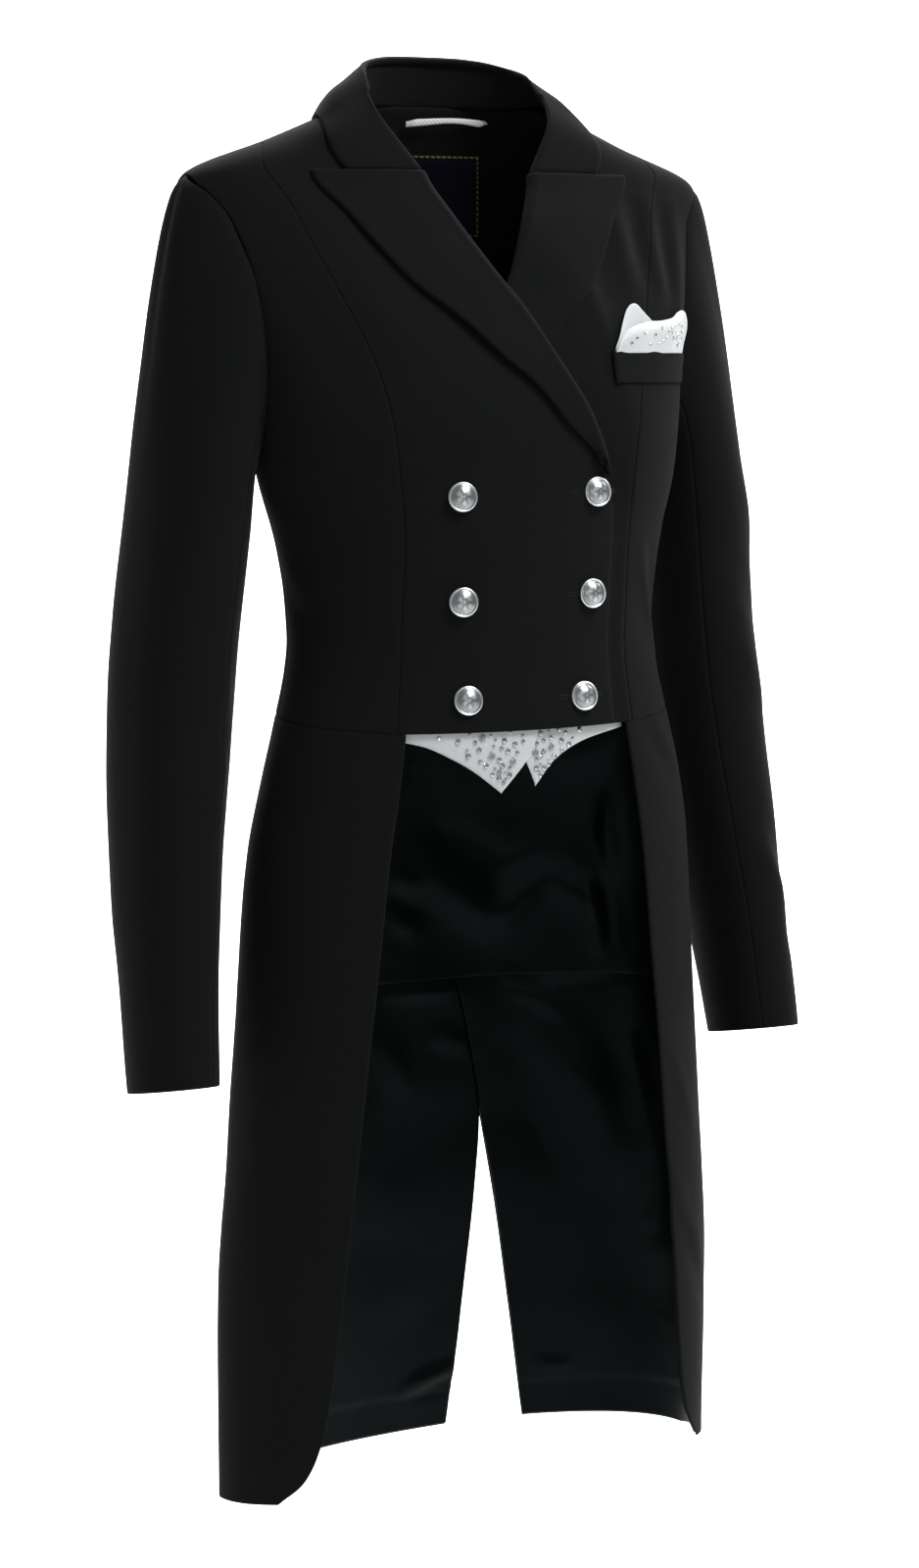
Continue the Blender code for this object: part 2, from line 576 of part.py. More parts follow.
def main():
    """Builds every piece of the coat."""
    for piece in list(bpy.data.objects):
        bpy.data.objects.remove(piece, do_unlink=True)
    cloth = material("Wool_twill", (0.012, 0.012, 0.013), 0.85)
    satin = material("Lining_satin", (0.004, 0.005, 0.006), 0.35)
    white = material("White_satin", (0.80, 0.80, 0.80), 0.45)
    silver = material("Silver_metal", (0.72, 0.72, 0.73), 0.28, 1.0)
    navy = material("Label_weave", (0.010, 0.012, 0.022), 0.75)
    tape = material("Loop_tape", (0.70, 0.70, 0.69), 0.55)
    fronts(cloth)
    side_fronts(cloth)
    backs(cloth)
    tails(cloth)
    linings(satin)
    lapels(cloth)
    collar(cloth)
    sleeves(cloth)
    pocket(cloth, white)
    vest_points(white)
    buttons(silver)
    neck_inside(navy, tape)


main()
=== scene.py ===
import math
import random

import bpy
import numpy as np
from mathutils import Matrix, Vector, noise


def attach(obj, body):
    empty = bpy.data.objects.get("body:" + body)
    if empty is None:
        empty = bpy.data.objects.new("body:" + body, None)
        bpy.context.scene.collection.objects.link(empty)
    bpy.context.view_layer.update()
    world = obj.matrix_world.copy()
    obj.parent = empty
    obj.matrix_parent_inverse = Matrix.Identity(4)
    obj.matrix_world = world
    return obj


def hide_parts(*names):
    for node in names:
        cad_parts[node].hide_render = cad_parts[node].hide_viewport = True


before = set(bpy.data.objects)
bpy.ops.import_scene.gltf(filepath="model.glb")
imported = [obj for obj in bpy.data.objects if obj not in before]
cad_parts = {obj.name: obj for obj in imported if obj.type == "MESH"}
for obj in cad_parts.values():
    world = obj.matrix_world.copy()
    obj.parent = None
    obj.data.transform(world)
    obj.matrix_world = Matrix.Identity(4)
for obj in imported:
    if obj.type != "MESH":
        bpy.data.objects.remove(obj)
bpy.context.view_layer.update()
bpy.ops.object.select_all(action="DESELECT")

# Studio
# A plain pale floor that curves up behind the coat, and soft lamps: a broad key high up in front on
# the wearer's left, a weak rim lamp on each side, a weak fill, one lamp for the back and a strong one
# for the backdrop. The camera is at the photo's angle.
CAMERA_TURN, CAMERA_DIP, LENS = math.radians(26.4), math.radians(7.8), 78.05
CAMERA_PLACE = Vector((-1.041, -2.112, -0.143))
FLOOR_HEIGHT, FLOOR_SIZE, FLOOR_BEND = -1.45, 14.0, 3.0

ahead = Vector((math.sin(CAMERA_TURN) * math.cos(CAMERA_DIP),
                math.cos(CAMERA_TURN) * math.cos(CAMERA_DIP), -math.sin(CAMERA_DIP)))
sideways = Vector((math.cos(CAMERA_TURN), -math.sin(CAMERA_TURN), 0))
bpy.ops.object.camera_add()
camera = bpy.context.object
camera.data.lens, camera.data.sensor_width, camera.data.sensor_fit = LENS, 36.0, "AUTO"
camera.matrix_world = Matrix.Translation(CAMERA_PLACE) @ Matrix(
    (sideways, sideways.cross(ahead), -ahead)).transposed().to_4x4()
bpy.context.scene.camera = camera


def linear(code):
    """An sRGB hex colour as linear red, green, blue and alpha."""
    parts = [int(code[i:i + 2], 16) / 255 for i in (1, 3, 5)]
    return (*[c / 12.92 if c <= 0.04045 else ((c + 0.055) / 1.055) ** 2.4 for c in parts], 1.0)


def add(tree, kind, inputs=None, **settings):
    """Adds a node with its settings; each input takes a value or another node's output."""
    node = tree.nodes.new(kind)
    for key, value in settings.items():
        setattr(node, key, value)
    for key, value in (inputs or {}).items():
        if isinstance(value, bpy.types.NodeSocket):
            tree.links.new(value, node.inputs[key])
        else:
            node.inputs[key].default_value = value
    return node


def begun(name, **sockets):
    """A material with one Principled shader, and that shader's tree."""
    made = bpy.data.materials.new(name)
    made.use_nodes = True
    shader = made.node_tree.nodes["Principled BSDF"]
    for key, value in sockets.items():
        shader.inputs[key.replace("_", " ")].default_value = value
    return made, made.node_tree, shader


def finished(tree, shader, share, low, high, relief=None, strength=0.0, depth=0.0):
    """Colours a shader from low to high by a pattern, and embosses a relief that deep in metres."""
    tints = [linear(tint) if isinstance(tint, str) else tint for tint in (low, high)]
    colour = add(tree, "ShaderNodeMix", {0: share, 6: tints[0], 7: tints[1]}, data_type="RGBA")
    tree.links.new(colour.outputs[2], shader.inputs["Base Color"])
    if relief is not None:
        bump = add(tree, "ShaderNodeBump",
                   {"Height": relief, "Strength": strength, "Distance": depth})
        tree.links.new(bump.outputs["Normal"], shader.inputs["Normal"])


def picked(made, kind, wanted):
    """Leaves a piece in edit mode with only the wanted corners, edges or faces selected."""
    bpy.ops.object.mode_set(mode="EDIT")
    bpy.ops.mesh.select_mode(type=kind)
    bpy.ops.mesh.select_all(action="DESELECT")
    bpy.ops.object.mode_set(mode="OBJECT")
    mesh = made.data
    for part in {"VERT": mesh.vertices, "EDGE": mesh.edges, "FACE": mesh.polygons}[kind]:
        part.select = wanted(part)
    bpy.ops.object.mode_set(mode="EDIT")


def at_rear(edge):
    """Whether an edge of the floor is the rear one on the ground, where the backdrop rises."""
    ends = [floor.data.vertices[k].co for k in edge.vertices]
    return all(end.y > 0.49 * FLOOR_SIZE and end.z < 0.1 for end in ends)


floor_paint, tree, shader = begun("Matt_floor_paint", Roughness=0.9)
grain = add(tree, "ShaderNodeTexNoise", {"Scale": 3.0, "Detail": 2.0,
            "Vector": add(tree, "ShaderNodeTexCoord").outputs["Object"]})
finished(tree, shader, grain.outputs["Fac"], "#dcdcdc", "#e1e1e1")
bpy.ops.mesh.primitive_plane_add(size=FLOOR_SIZE, location=(0, 0, FLOOR_HEIGHT),
                                 rotation=(0, 0, -CAMERA_TURN))
floor = bpy.context.object
floor.name = "floor"
picked(floor, "EDGE", at_rear)
bpy.ops.mesh.extrude_region_move(TRANSFORM_OT_translate={"value": (0, 0, FLOOR_SIZE / 2)})
picked(floor, "EDGE", at_rear)
bpy.ops.mesh.bevel(offset=FLOOR_BEND, segments=24)
bpy.ops.object.mode_set(mode="OBJECT")
bpy.ops.object.transform_apply(location=True, rotation=True, scale=True)
floor.data.shade_smooth()
floor.data.materials.append(floor_paint)

world = bpy.data.worlds.new("Studio_air")
bpy.context.scene.world = world
world.use_nodes = True
world.node_tree.nodes["Background"].inputs["Color"].default_value = linear("#ffffff")
world.node_tree.nodes["Background"].inputs["Strength"].default_value = 0.34
bpy.context.scene.view_settings.view_transform = "Standard"
# place, aim, width, height, watts
LAMPS = {"key": ((1.0, -1.65, 2.05), (0.0, 0.0, -0.15), 1.3, 1.1, 88.0),
         "rim_left_of_wearer": ((2.2, 0.2, 1.0), (0.15, 0.0, -0.1), 0.5, 0.8, 11.0),
         "rim_right_of_wearer": ((-2.3, 0.6, 0.1), (-0.15, 0.0, -0.4), 0.7, 2.2, 1.0),
         "fill": ((-0.9, -3.2, 0.0), (0.0, 0.0, -0.5), 1.6, 1.6, 9.0),
         "back_fill": ((1.3, 2.3, 1.3), (0.0, 0.0, -0.4), 1.4, 1.4, 34.0),
         "backdrop": ((1.5, 2.8, 3.2), (2.4, 4.8, -1.2), 5.0, 4.0, 1000.0)}
for name, (place, aim, wide, high, watts) in LAMPS.items():
    bpy.ops.object.light_add(type="AREA", location=place)
    lamp = bpy.context.object
    lamp.name = name
    lamp.data.shape, lamp.data.energy = "RECTANGLE", watts
    lamp.data.size, lamp.data.size_y = wide, high
    lamp.rotation_euler = (Vector(aim) - Vector(place)).to_track_quat("-Z", "Y").to_euler()

# Fronts and side fronts
# The two overlapping fronts run from the front edge to the princess seam, the side fronts from there
# to the side seam. Wool twill with a satin lining, cut flat, seamed and pressed over the bust.
WOOL_THICK = 0.0016
# height, half width, middle y, front depth, back depth, squareness
TRUNK = np.array([
    (-0.960, 0.1855, -0.022, 0.098, 0.074, 2.10),
    (-0.800, 0.1850, -0.024, 0.100, 0.078, 2.10),
    (-0.700, 0.1790, -0.026, 0.099, 0.082, 2.05),
    (-0.600, 0.1715, -0.028, 0.098, 0.086, 2.00),
    (-0.500, 0.1635, -0.033, 0.090, 0.090, 2.00),
    (-0.450, 0.1540, -0.037, 0.084, 0.090, 2.00),
    (-0.415, 0.1455, -0.037, 0.081, 0.087, 2.00),
    (-0.380, 0.1370, -0.035, 0.081, 0.083, 2.00),
    (-0.353, 0.1340, -0.033, 0.083, 0.082, 2.00),
    (-0.300, 0.1390, -0.032, 0.088, 0.088, 2.00),
    (-0.250, 0.1515, -0.030, 0.092, 0.098, 2.00),
    (-0.210, 0.1570, -0.025, 0.096, 0.104, 2.05),
    (-0.170, 0.1630, -0.018, 0.092, 0.103, 2.10),
    (-0.120, 0.1760, -0.007, 0.078, 0.096, 2.20),
    (-0.080, 0.1880, 0.003, 0.063, 0.082, 2.20),
    (-0.0485, 0.1900, 0.008, 0.049, 0.066, 2.20),
    (-0.024, 0.1300, 0.006, 0.040, 0.054, 2.20),
    (0.000, 0.0730, 0.004, 0.034, 0.046, 2.20)])
# angle and height of the front edge, of the princess seam and of the side seam with the armhole
FRONT = np.array([
    (-29.5, -0.4150, 37.6, -0.4150, 96.0, -0.4080),
    (-30.2, -0.3800, 38.6, -0.3800, 96.0, -0.3760),
    (-30.2, -0.3300, 38.6, -0.3350, 97.0, -0.3330),
    (-27.8, -0.2750, 36.0, -0.2800, 99.0, -0.2800),
    (-22.6, -0.2430, 35.2, -0.2500, 102.0, -0.2430),
    (-14.5, -0.2030, 35.3, -0.2130, 88.0, -0.2320),
    (-6.6, -0.1671, 36.4, -0.1790, 79.0, -0.2020),
    (-0.5, -0.1350, 38.0, -0.1480, 72.0, -0.1650),
    (4.0, -0.1040, 40.0, -0.1180, 66.5, -0.1270),
    (8.0, -0.0740, 41.8, -0.0860, 64.0, -0.0890),
    (12.5, -0.0465, 44.5, -0.0570, 68.0, -0.0640),
    (25.0, -0.0270, 56.0, -0.0400, 78.0, -0.0530),
    (50.0, -0.0080, 74.0, -0.0300, 85.0, -0.0495),
    (90.0, -0.0010, 90.0, -0.0267, 90.0, -0.0485)])
# Creases of the body: width and depth in millimetres, then angle and height along it, where the
# wearer's right has negative angles. Those of the hidden sides and back are like the ones in view.
CREASES = [
    (11, -1.8, ((-40, -0.222), (-52, -0.249), (-61, -0.268))),
    (9, 1.2, ((-45, -0.243), (-57, -0.268), (-66, -0.282))),
    (10, -1.0, ((-48, -0.273), (-58, -0.290), (-70, -0.300))),
    (20, -2.4, ((-58, -0.075), (-53, -0.121), (-47, -0.165), (-43, -0.205))),
    (14, 1.4, ((-36, -0.060), (-33, -0.100), (-29, -0.150), (-26, -0.190))),
    (13, -1.8, ((23, -0.068), (23, -0.102), (26, -0.140))),
    (9, 2.6, ((30, -0.052), (31, -0.087), (33, -0.130))),
    (8, -2.0, ((37, -0.058), (37, -0.092), (40, -0.128))),
    (8, 2.2, ((43, -0.052), (43, -0.093), (47, -0.132))),
    (8, -1.7, ((48, -0.060), (49, -0.097), (53, -0.135))),
    (8, 2.0, ((53, -0.060), (55, -0.101), (59, -0.148))),
    (7, 1.8, ((15, -0.092), (19, -0.120), (24, -0.158))),
    (4, -1.8, ((21.5, -0.1600), (22.6, -0.1720), (23.6, -0.1840))),
    (5, 2.4, ((44, -0.292), (52, -0.326), (62, -0.355), (71, -0.378))),
    (8, -1.6, ((50, -0.290), (60, -0.322), (70, -0.348))),
    (7, 1.5, ((50, -0.418), (57, -0.435), (67, -0.454))),
    (8, -1.1, ((44, -0.424), (51, -0.444), (60, -0.462))),
    (12, -0.9, ((-30, -0.226), (-12, -0.240), (4, -0.236))),
    (12, 0.9, ((-24, -0.300), (0, -0.292), (20, -0.300))),
    (12, -0.8, ((-22, -0.362), (-4, -0.352), (22, -0.358))),
    (9, 1.2, ((-90, -0.300), (-76, -0.322), (-58, -0.328))),
    (8, -1.2, ((-94, -0.322), (-80, -0.340), (-64, -0.344))),
    (9, -1.3, ((-88, -0.250), (-76, -0.262), (-66, -0.280))),
    (9, -1.2, ((88, -0.252), (78, -0.268), (66, -0.284))),
    (10, 2.1, ((-112, -0.300), (-134, -0.332), (-158, -0.338))),
    (11, -2.4, ((-108, -0.322), (-132, -0.352), (-160, -0.356))),
    (9, 1.8, ((112, -0.318), (132, -0.344), (156, -0.350))),
    (11, -2.2, ((106, -0.296), (128, -0.326), (150, -0.332))),
    (12, 2.4, ((116, -0.225), (128, -0.180), (138, -0.130))),
    (13, -2.4, ((122, -0.236), (134, -0.195), (146, -0.150))),
    (12, 2.1, ((-117, -0.215), (-130, -0.172), (-141, -0.118))),
    (12, -2.2, ((-124, -0.232), (-137, -0.190), (-150, -0.138))),
    (15, -1.6, ((-152, -0.070), (178, -0.088), (150, -0.072))),
    (24, -2.0, ((-90, -0.590), (-87, -0.640), (-88, -0.700), (-93, -0.760))),
    (22, 1.5, ((-58, -0.500), (-56, -0.600), (-60, -0.720), (-66, -0.820))),
    (20, -2.2, ((-118, -0.560), (-121, -0.680), (-119, -0.800), (-124, -0.900))),
    (24, 2.9, ((-142, -0.620), (-146, -0.760), (-147, -0.900))),
    (8, 1.8, ((42, -0.728), (50, -0.775), (63, -0.812))),
    (9, -1.4, ((45, -0.755), (53, -0.800), (64, -0.838))),
    (8, 1.2, ((43, -0.635), (52, -0.686), (60, -0.714))),
    (22, -1.8, ((88, -0.520), (92, -0.640), (90, -0.780))),
    (22, 2.7, ((116, -0.540), (121, -0.680), (120, -0.820), (124, -0.920))),
    (20, -2.4, ((142, -0.600), (140, -0.740), (144, -0.880)))]


def smooth(table, at):
    """Every column of a table, read along its first column as a smooth curve."""
    keys, at = table[:, 0], np.asarray(at, float)
    rows = np.arange(len(keys))
    low, high = np.maximum(rows - 1, 0), np.minimum(rows + 1, len(keys) - 1)
    slopes = (table[high] - table[low]) / (keys[high] - keys[low])[:, None]
    i = np.clip(np.searchsorted(keys, at) - 1, 0, len(keys) - 2)
    h = (keys[i + 1] - keys[i])[..., None]
    u = (at - keys[i])[..., None] / h
    return ((2 * u**3 - 3 * u**2 + 1) * table[i] + (u**3 - 2 * u**2 + u) * h * slopes[i]
            + (3 * u**2 - 2 * u**3) * table[i + 1] + (u**3 - u**2) * h * slopes[i + 1])


def curve(points, at):
    """A smooth curve through rows of numbers, read at those row numbers."""
    return smooth(np.column_stack([np.arange(len(points), dtype=float), points]), at)[:, 1:]


def along(table, at, corner=0, columns=()):
    """Rows of a table at fractions of its length; some columns may turn at a corner row."""
    place = np.asarray(at, float) * (len(table) - 1)
    found = curve(table, place)
    if corner:
        before, after = curve(table[:corner + 1], place), curve(table[corner:], place - corner)
        turned = np.where((place <= corner)[:, None], before, after)
        found[:, columns] = turned[:, columns]
    return found


def trunk(angle, height):
    """Points of the figure's surface at angles from the middle front and at heights."""
    angle, height = np.broadcast_arrays(np.asarray(angle, float), np.asarray(height, float))
    _, half, mid, front, back, square = np.moveaxis(
        smooth(TRUNK, np.clip(height, TRUNK[0, 0], 0.0)), -1, 0)
    s, c = np.sin(np.radians(angle)), np.cos(np.radians(angle))
    return np.stack([np.sign(s) * half * np.abs(s) ** (2 / square),
                     mid - np.sign(c) * np.where(c > 0, front, back) * np.abs(c) ** (2 / square),
                     height], axis=-1)


def unit(vectors):
    """The directions of vectors."""
    return vectors / np.maximum(np.linalg.norm(vectors, axis=-1, keepdims=True), 1e-9)


def trunk_normal(angle, height):
    """Outward direction of the figure's surface."""
    height = np.clip(height, TRUNK[0, 0] + 0.0012, -0.0012)
    return unit(np.cross(trunk(angle + 0.6, height) - trunk(angle - 0.6, height),
                         trunk(angle, height + 0.001) - trunk(angle, height - 0.001)))


def eased(value, low, high):
    """A soft step from nought at low to one at high."""
    share = np.clip((value - low) / (high - low), 0, 1)
    return share * share * (3 - 2 * share)


def steps(length, every):
    """Fractions of a length in metres, with closer ones at each end for the turned edge."""
    inner = np.linspace(0.0030 / length, 1 - 0.0030 / length, max(3, round(length / every)))
    ends = np.array([0.0, 0.0007, 0.0016]) / length
    return np.concatenate([ends, inner, 1 - ends[::-1]])


def net(lines, counts):
    """Angle and height at every point of a net stretched between seam lines."""
    spans = []
    for low, high, count in zip(lines, lines[1:], counts):
        for share in (count[1:] if spans else count):
            spans.append(low + (high - low) * share)
    return np.stack(spans, axis=1)


PATH_STEPS = 40


def creased(points, folds, surface=trunk):
    """How far cloth stands in or out for soft folds, given as width, depth and a line."""
    level = np.zeros(points.shape[:-1])
    for width, depth, line in folds:
        knots = surface(*np.array(line, float).T)
        path = curve(knots, np.linspace(0, len(knots) - 1, PATH_STEPS + 1))
        gaps = np.linalg.norm(points[..., None, :] - path, axis=-1)
        place = gaps.argmin(axis=-1) / PATH_STEPS
        swell = np.sin(np.pi * np.clip(place, 0.02, 0.98)) ** 0.7
        level += depth / 1000 * np.exp(-(gaps.min(axis=-1) / (width / 1000)) ** 2) * swell
    return level


def uneven(points, size, seed):
    """Slow waves of about that size that no pressed cloth is free of, from -1 to 1."""
    flat = (points + seed).reshape(-1, 3) / size
    return np.array([noise.noise(Vector(p)) for p in flat]).reshape(points.shape[:-1])


def directions(grid):
    """Direction across a grid of points at each point."""
    return unit(np.cross(np.gradient(grid, axis=1), np.gradient(grid, axis=0)))


def lengths(grid, axis):
    """How far each point of a grid lies from the grid's first edge, along its row or column."""
    gaps = np.diff(grid, axis=axis, prepend=grid.take([0], axis=axis))
    return np.cumsum(np.linalg.norm(gaps, axis=2), axis=axis)


def cloth(name, grid, thick, surfaces, lip=0.0007, away_from=(0.0, 0.0, None), facing=1):
    """A cloth piece from a net of points on its outer face, with both faces and turned edges."""
    normals = directions(grid)
    centre = np.array([grid[..., k].mean() if c is None else c for k, c in enumerate(away_from)])
    if ((grid - centre) * normals).sum() * facing < 0:
        grid, normals = grid[:, ::-1], -normals[:, ::-1]
    rows, cols = grid.shape[:2]
    edge = np.minimum.outer(np.minimum(np.arange(rows), np.arange(rows)[::-1]),
                            np.minimum(np.arange(cols), np.arange(cols)[::-1]))
    drop = np.choose(np.minimum(edge, 3), [lip, lip * 0.38, lip * 0.08, 0.0])
    outer, inner = grid - normals * drop[..., None], grid - normals * thick
    points = np.concatenate([outer.reshape(-1, 3), inner.reshape(-1, 3)])
    index = np.arange(rows * cols).reshape(rows, cols)
    a, b, c, d = index[:-1, :-1], index[:-1, 1:], index[1:, 1:], index[1:, :-1]
    front = np.stack([a, b, c, d], axis=-1).reshape(-1, 4)
    ring = np.concatenate([index[0], index[1:, -1], index[-1, -2::-1], index[-2:0:-1, 0]])
    onward = np.roll(ring, -1)
    rim = np.stack([ring, ring + rows * cols, onward + rows * cols, onward], axis=1)
    faces = np.concatenate([front, front[:, ::-1] + rows * cols, rim])
    mesh = bpy.data.meshes.new(name)
    mesh.from_pydata(points.tolist(), [], faces.tolist())
    for surface in surfaces:
        mesh.materials.append(surface)
    lined = np.zeros(len(faces), np.int32)
    lined[len(front):2 * len(front)] = len(surfaces) - 1
    mesh.polygons.foreach_set("material_index", lined)
    places = np.stack([lengths(grid, 1), lengths(grid, 0)], axis=-1).reshape(-1, 2)
    corners = np.zeros(len(mesh.loops), np.int32)
    mesh.loops.foreach_get("vertex_index", corners)
    mesh.uv_layers.new(name="cut").data.foreach_set("uv", places[corners % (rows * cols)].ravel())
    mesh.shade_smooth()
    mesh.update()
    piece = bpy.data.objects.new(name, mesh)
    bpy.context.collection.objects.link(piece)
    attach(piece, "root")
    return piece


# Wool twill: matt, near black, a short nap that catches light at grazing angles. The diagonal of the
# weave is drawn 2 mm wide, because its real half millimetre is finer than the picture.
wool, tree, shader = begun("Wool_twill", Roughness=0.88, Sheen_Weight=0.03, Sheen_Roughness=0.5,
                           Specular_IOR_Level=0.04)
shader.inputs["Sheen Tint"].default_value = linear("#d8dade")
place = add(tree, "ShaderNodeUVMap", uv_map="cut").outputs["UV"]
lean = add(tree, "ShaderNodeMapping", {"Vector": place, "Rotation": (0, 0, math.radians(52))})
rib = add(tree, "ShaderNodeTexWave", {"Vector": lean.outputs["Vector"], "Scale": 157.0,
          "Distortion": 0.6, "Detail": 1.0, "Detail Scale": 2.0})
nap = add(tree, "ShaderNodeTexNoise", {"Vector": place, "Scale": 900.0, "Detail": 4.0,
          "Roughness": 0.7})
wear = add(tree, "ShaderNodeTexNoise", {"Scale": 14.0, "Detail": 3.0,
           "Vector": add(tree, "ShaderNodeTexCoord").outputs["Object"]})
dark = add(tree, "ShaderNodeMix", {0: nap.outputs["Fac"], 6: linear("#0b0b0c"), 7: linear("#161717")},
           data_type="RGBA")
height = add(tree, "ShaderNodeMath", {0: rib.outputs["Fac"], 1: nap.outputs["Fac"]}, operation="ADD")
finished(tree, shader, wear.outputs["Fac"], dark.outputs[2], "#0f1010",
         height.outputs["Value"], 0.16, 0.00025)

# Lining satin: black acetate with a blue-green cast and a broad soft gloss, woven too fine to see.
satin, tree, shader = begun("Acetate_satin", Roughness=0.30, Specular_IOR_Level=0.08, Anisotropic=0.4)
shader.inputs["Specular Tint"].default_value = linear("#cfe6e6")
place = add(tree, "ShaderNodeUVMap", uv_map="cut").outputs["UV"]
thread = add(tree, "ShaderNodeTexNoise", {"Scale": 1.0, "Detail": 3.0, "Vector": add(
    tree, "ShaderNodeMapping", {"Vector": place, "Scale": (260, 1400, 1)}).outputs["Vector"]})
pucker = add(tree, "ShaderNodeTexNoise", {"Scale": 60.0, "Detail": 4.0, "Vector": place})
finished(tree, shader, thread.outputs["Fac"], "#020303", "#040606",
         pucker.outputs["Fac"], 0.25, 0.0012)


def rippled(points):
    """How far the body's cloth stands off the figure: its creases and the slow waves between them."""
    return creased(points, CREASES) + 0.0005 * uneven(points, 0.055, 3.0)


def on_body(lines, counts, side, level=None):
    """A net between seam lines on one side of the figure, raised by creases and a level."""
    cells = net(lines, counts)
    angle, height = cells[..., 0] * side, cells[..., 1]
    points = trunk(angle, height)
    rise = rippled(points)
    if level is not None:
        rise = rise + level(cells[..., 0], height, points)
    return points + trunk_normal(angle, height) * rise[..., None]


def sunk(angle, height, points=None):
    """How far the left front lies under the right one, which covers it up to its own edge."""
    cover = -np.interp(height, FRONT[:, 1], FRONT[:, 0])
    level = 0.0023 + 0.0050 * (1 - eased(-height, 0.245, 0.285))
    ramp = np.minimum(cover + 20.0, 37.4)
    return -level * eased(-height, 0.070, 0.125) * (1 - eased(angle, cover + 1.5, ramp))


front_rows = along(FRONT, steps(0.47, 0.0034), 4, [4, 5])
for tag, side, level in (("right", -1, None), ("left", 1, sunk)):
    grid = on_body([front_rows[:, 0:2], front_rows[:, 2:4]], [steps(0.16, 0.0034)], side, level)
    front = cloth(f"front_{tag}_cloth", grid, WOOL_THICK, (wool, satin))
    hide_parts(f"front_{tag}")
    grid = on_body([front_rows[:, 2:4], front_rows[:, 4:6]], [steps(0.11, 0.0034)], side)
    panel = cloth(f"side_{tag}_cloth", grid, WOOL_THICK, (wool, satin))
    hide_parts(f"side_{tag}")

# Backs
# Two back panels, joined down the middle and shaped at the waist, of the same lined wool twill.
# angle and height of the side seam with the armhole, of the blade line and of the middle seam
BACK = np.array([
    (96.0, -0.4080, 138.0, -0.4058, 180.0, -0.4040),
    (96.0, -0.3760, 138.0, -0.3730, 180.0, -0.3700),
    (97.0, -0.3330, 138.0, -0.3270, 180.0, -0.3220),
    (99.0, -0.2800, 139.0, -0.2720, 180.0, -0.2650),
    (102.0, -0.2430, 141.0, -0.2300, 180.0, -0.2200),
    (110.0, -0.2290, 142.0, -0.2050, 180.0, -0.1900),
    (115.0, -0.2000, 143.0, -0.1760, 180.0, -0.1600),
    (116.0, -0.1600, 142.0, -0.1400, 180.0, -0.1250),
    (113.0, -0.1200, 138.0, -0.1050, 180.0, -0.0920),
    (107.0, -0.0830, 131.0, -0.0720, 180.0, -0.0630),
    (100.0, -0.0610, 122.0, -0.0450, 180.0, -0.0390),
    (95.0, -0.0520, 108.0, -0.0200, 180.0, -0.0180),
    (90.0, -0.0485, 90.0, -0.0010, 180.0, -0.0010)])
back_rows = along(BACK, steps(0.44, 0.0036), 4, [0, 1])
half_steps = steps(0.17, 0.0036)
first_half = half_steps[half_steps <= 0.5] * 2
second_half = np.concatenate([[0.0], half_steps[half_steps > 0.5] * 2 - 1])
for tag, side in (("right", -1), ("left", 1)):
    grid = on_body(np.split(back_rows, 3, axis=1), [first_half, second_half], side)
    back = cloth(f"back_{tag}_cloth", grid, WOOL_THICK, (wool, satin))
    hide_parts(f"back_{tag}")

# Tails
# Two long tails from the waist seam to the hem, cut away in front and open at the back from the vent
# down. Wool twill, pressed and hung from the seam; the hem is turned up inside.
# front height and angle, side height, back height, swing of the back seam, half opening of the vent
TAIL = np.array([
    (-0.4153, 34.8, -0.4083, -0.4043, 0.0, 0.0),
    (-0.4500, 35.0, -0.4460, -0.4440, 1.8, 0.0),
    (-0.5200, 36.5, -0.5180, -0.5180, 5.4, 0.0),
    (-0.6130, 39.0, -0.6130, -0.6130, 10.2, 0.0),
    (-0.6700, 40.1, -0.6660, -0.6660, 13.2, 0.0),
    (-0.7200, 41.1, -0.7120, -0.7120, 15.0, 0.0),
    (-0.7800, 42.4, -0.7700, -0.7700, 15.2, 2.3),
    (-0.8400, 44.6, -0.8350, -0.8350, 15.2, 4.9),
    (-0.8900, 47.8, -0.8960, -0.8930, 15.2, 7.3),
    (-0.9220, 53.0, -0.9340, -0.9290, 15.2, 8.8),
    (-0.9410, 62.0, -0.9500, -0.9470, 15.2, 9.6)])


SIDE_ANGLE = 96.0


def tail_lines(side, at):
    """Front edge, side line, blade line and back edge of one tail."""
    found = along(TAIL, at)
    back = 180.0 - side * found[:, 4] - np.maximum(found[:, 5], 0.0)
    blade = SIDE_ANGLE + (back - SIDE_ANGLE) / 2
    return [np.column_stack([found[:, 1], found[:, 0]]),
            np.column_stack([np.full(len(found), SIDE_ANGLE), found[:, 2]]),
            np.column_stack([blade, (found[:, 2] + found[:, 3]) / 2]),
            np.column_stack([back, found[:, 3]])]


tail_steps = steps(0.54, 0.0042)
for tag, side, wide, area in (("right", -1, 0.37, 0.181), ("left", 1, 0.30, 0.143)):
    first, last = steps(0.15, 0.0042), steps(0.09, 0.0042)
    first, last = first[:-3], np.concatenate([[0.0], last[3:]])
    first = first / first[-1]
    grid = on_body(tail_lines(side, tail_steps), [first, np.linspace(0, 1, 22), last], side)
    tail = cloth(f"tail_{tag}_cloth", grid, WOOL_THICK, (wool, satin))
    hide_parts(f"tail_{tag}")

# Linings
# Black acetate satin inside the back, the skirt and each tail, cut with ease so that it bags a little
# and puckers at its seams. It is felled to the cloth along the edges and turned up above the hem. The
# back of the neck is faced with twill instead, down to a seam below the label.
LINING_THICK = 0.0009
NECK_FACING = -0.1550
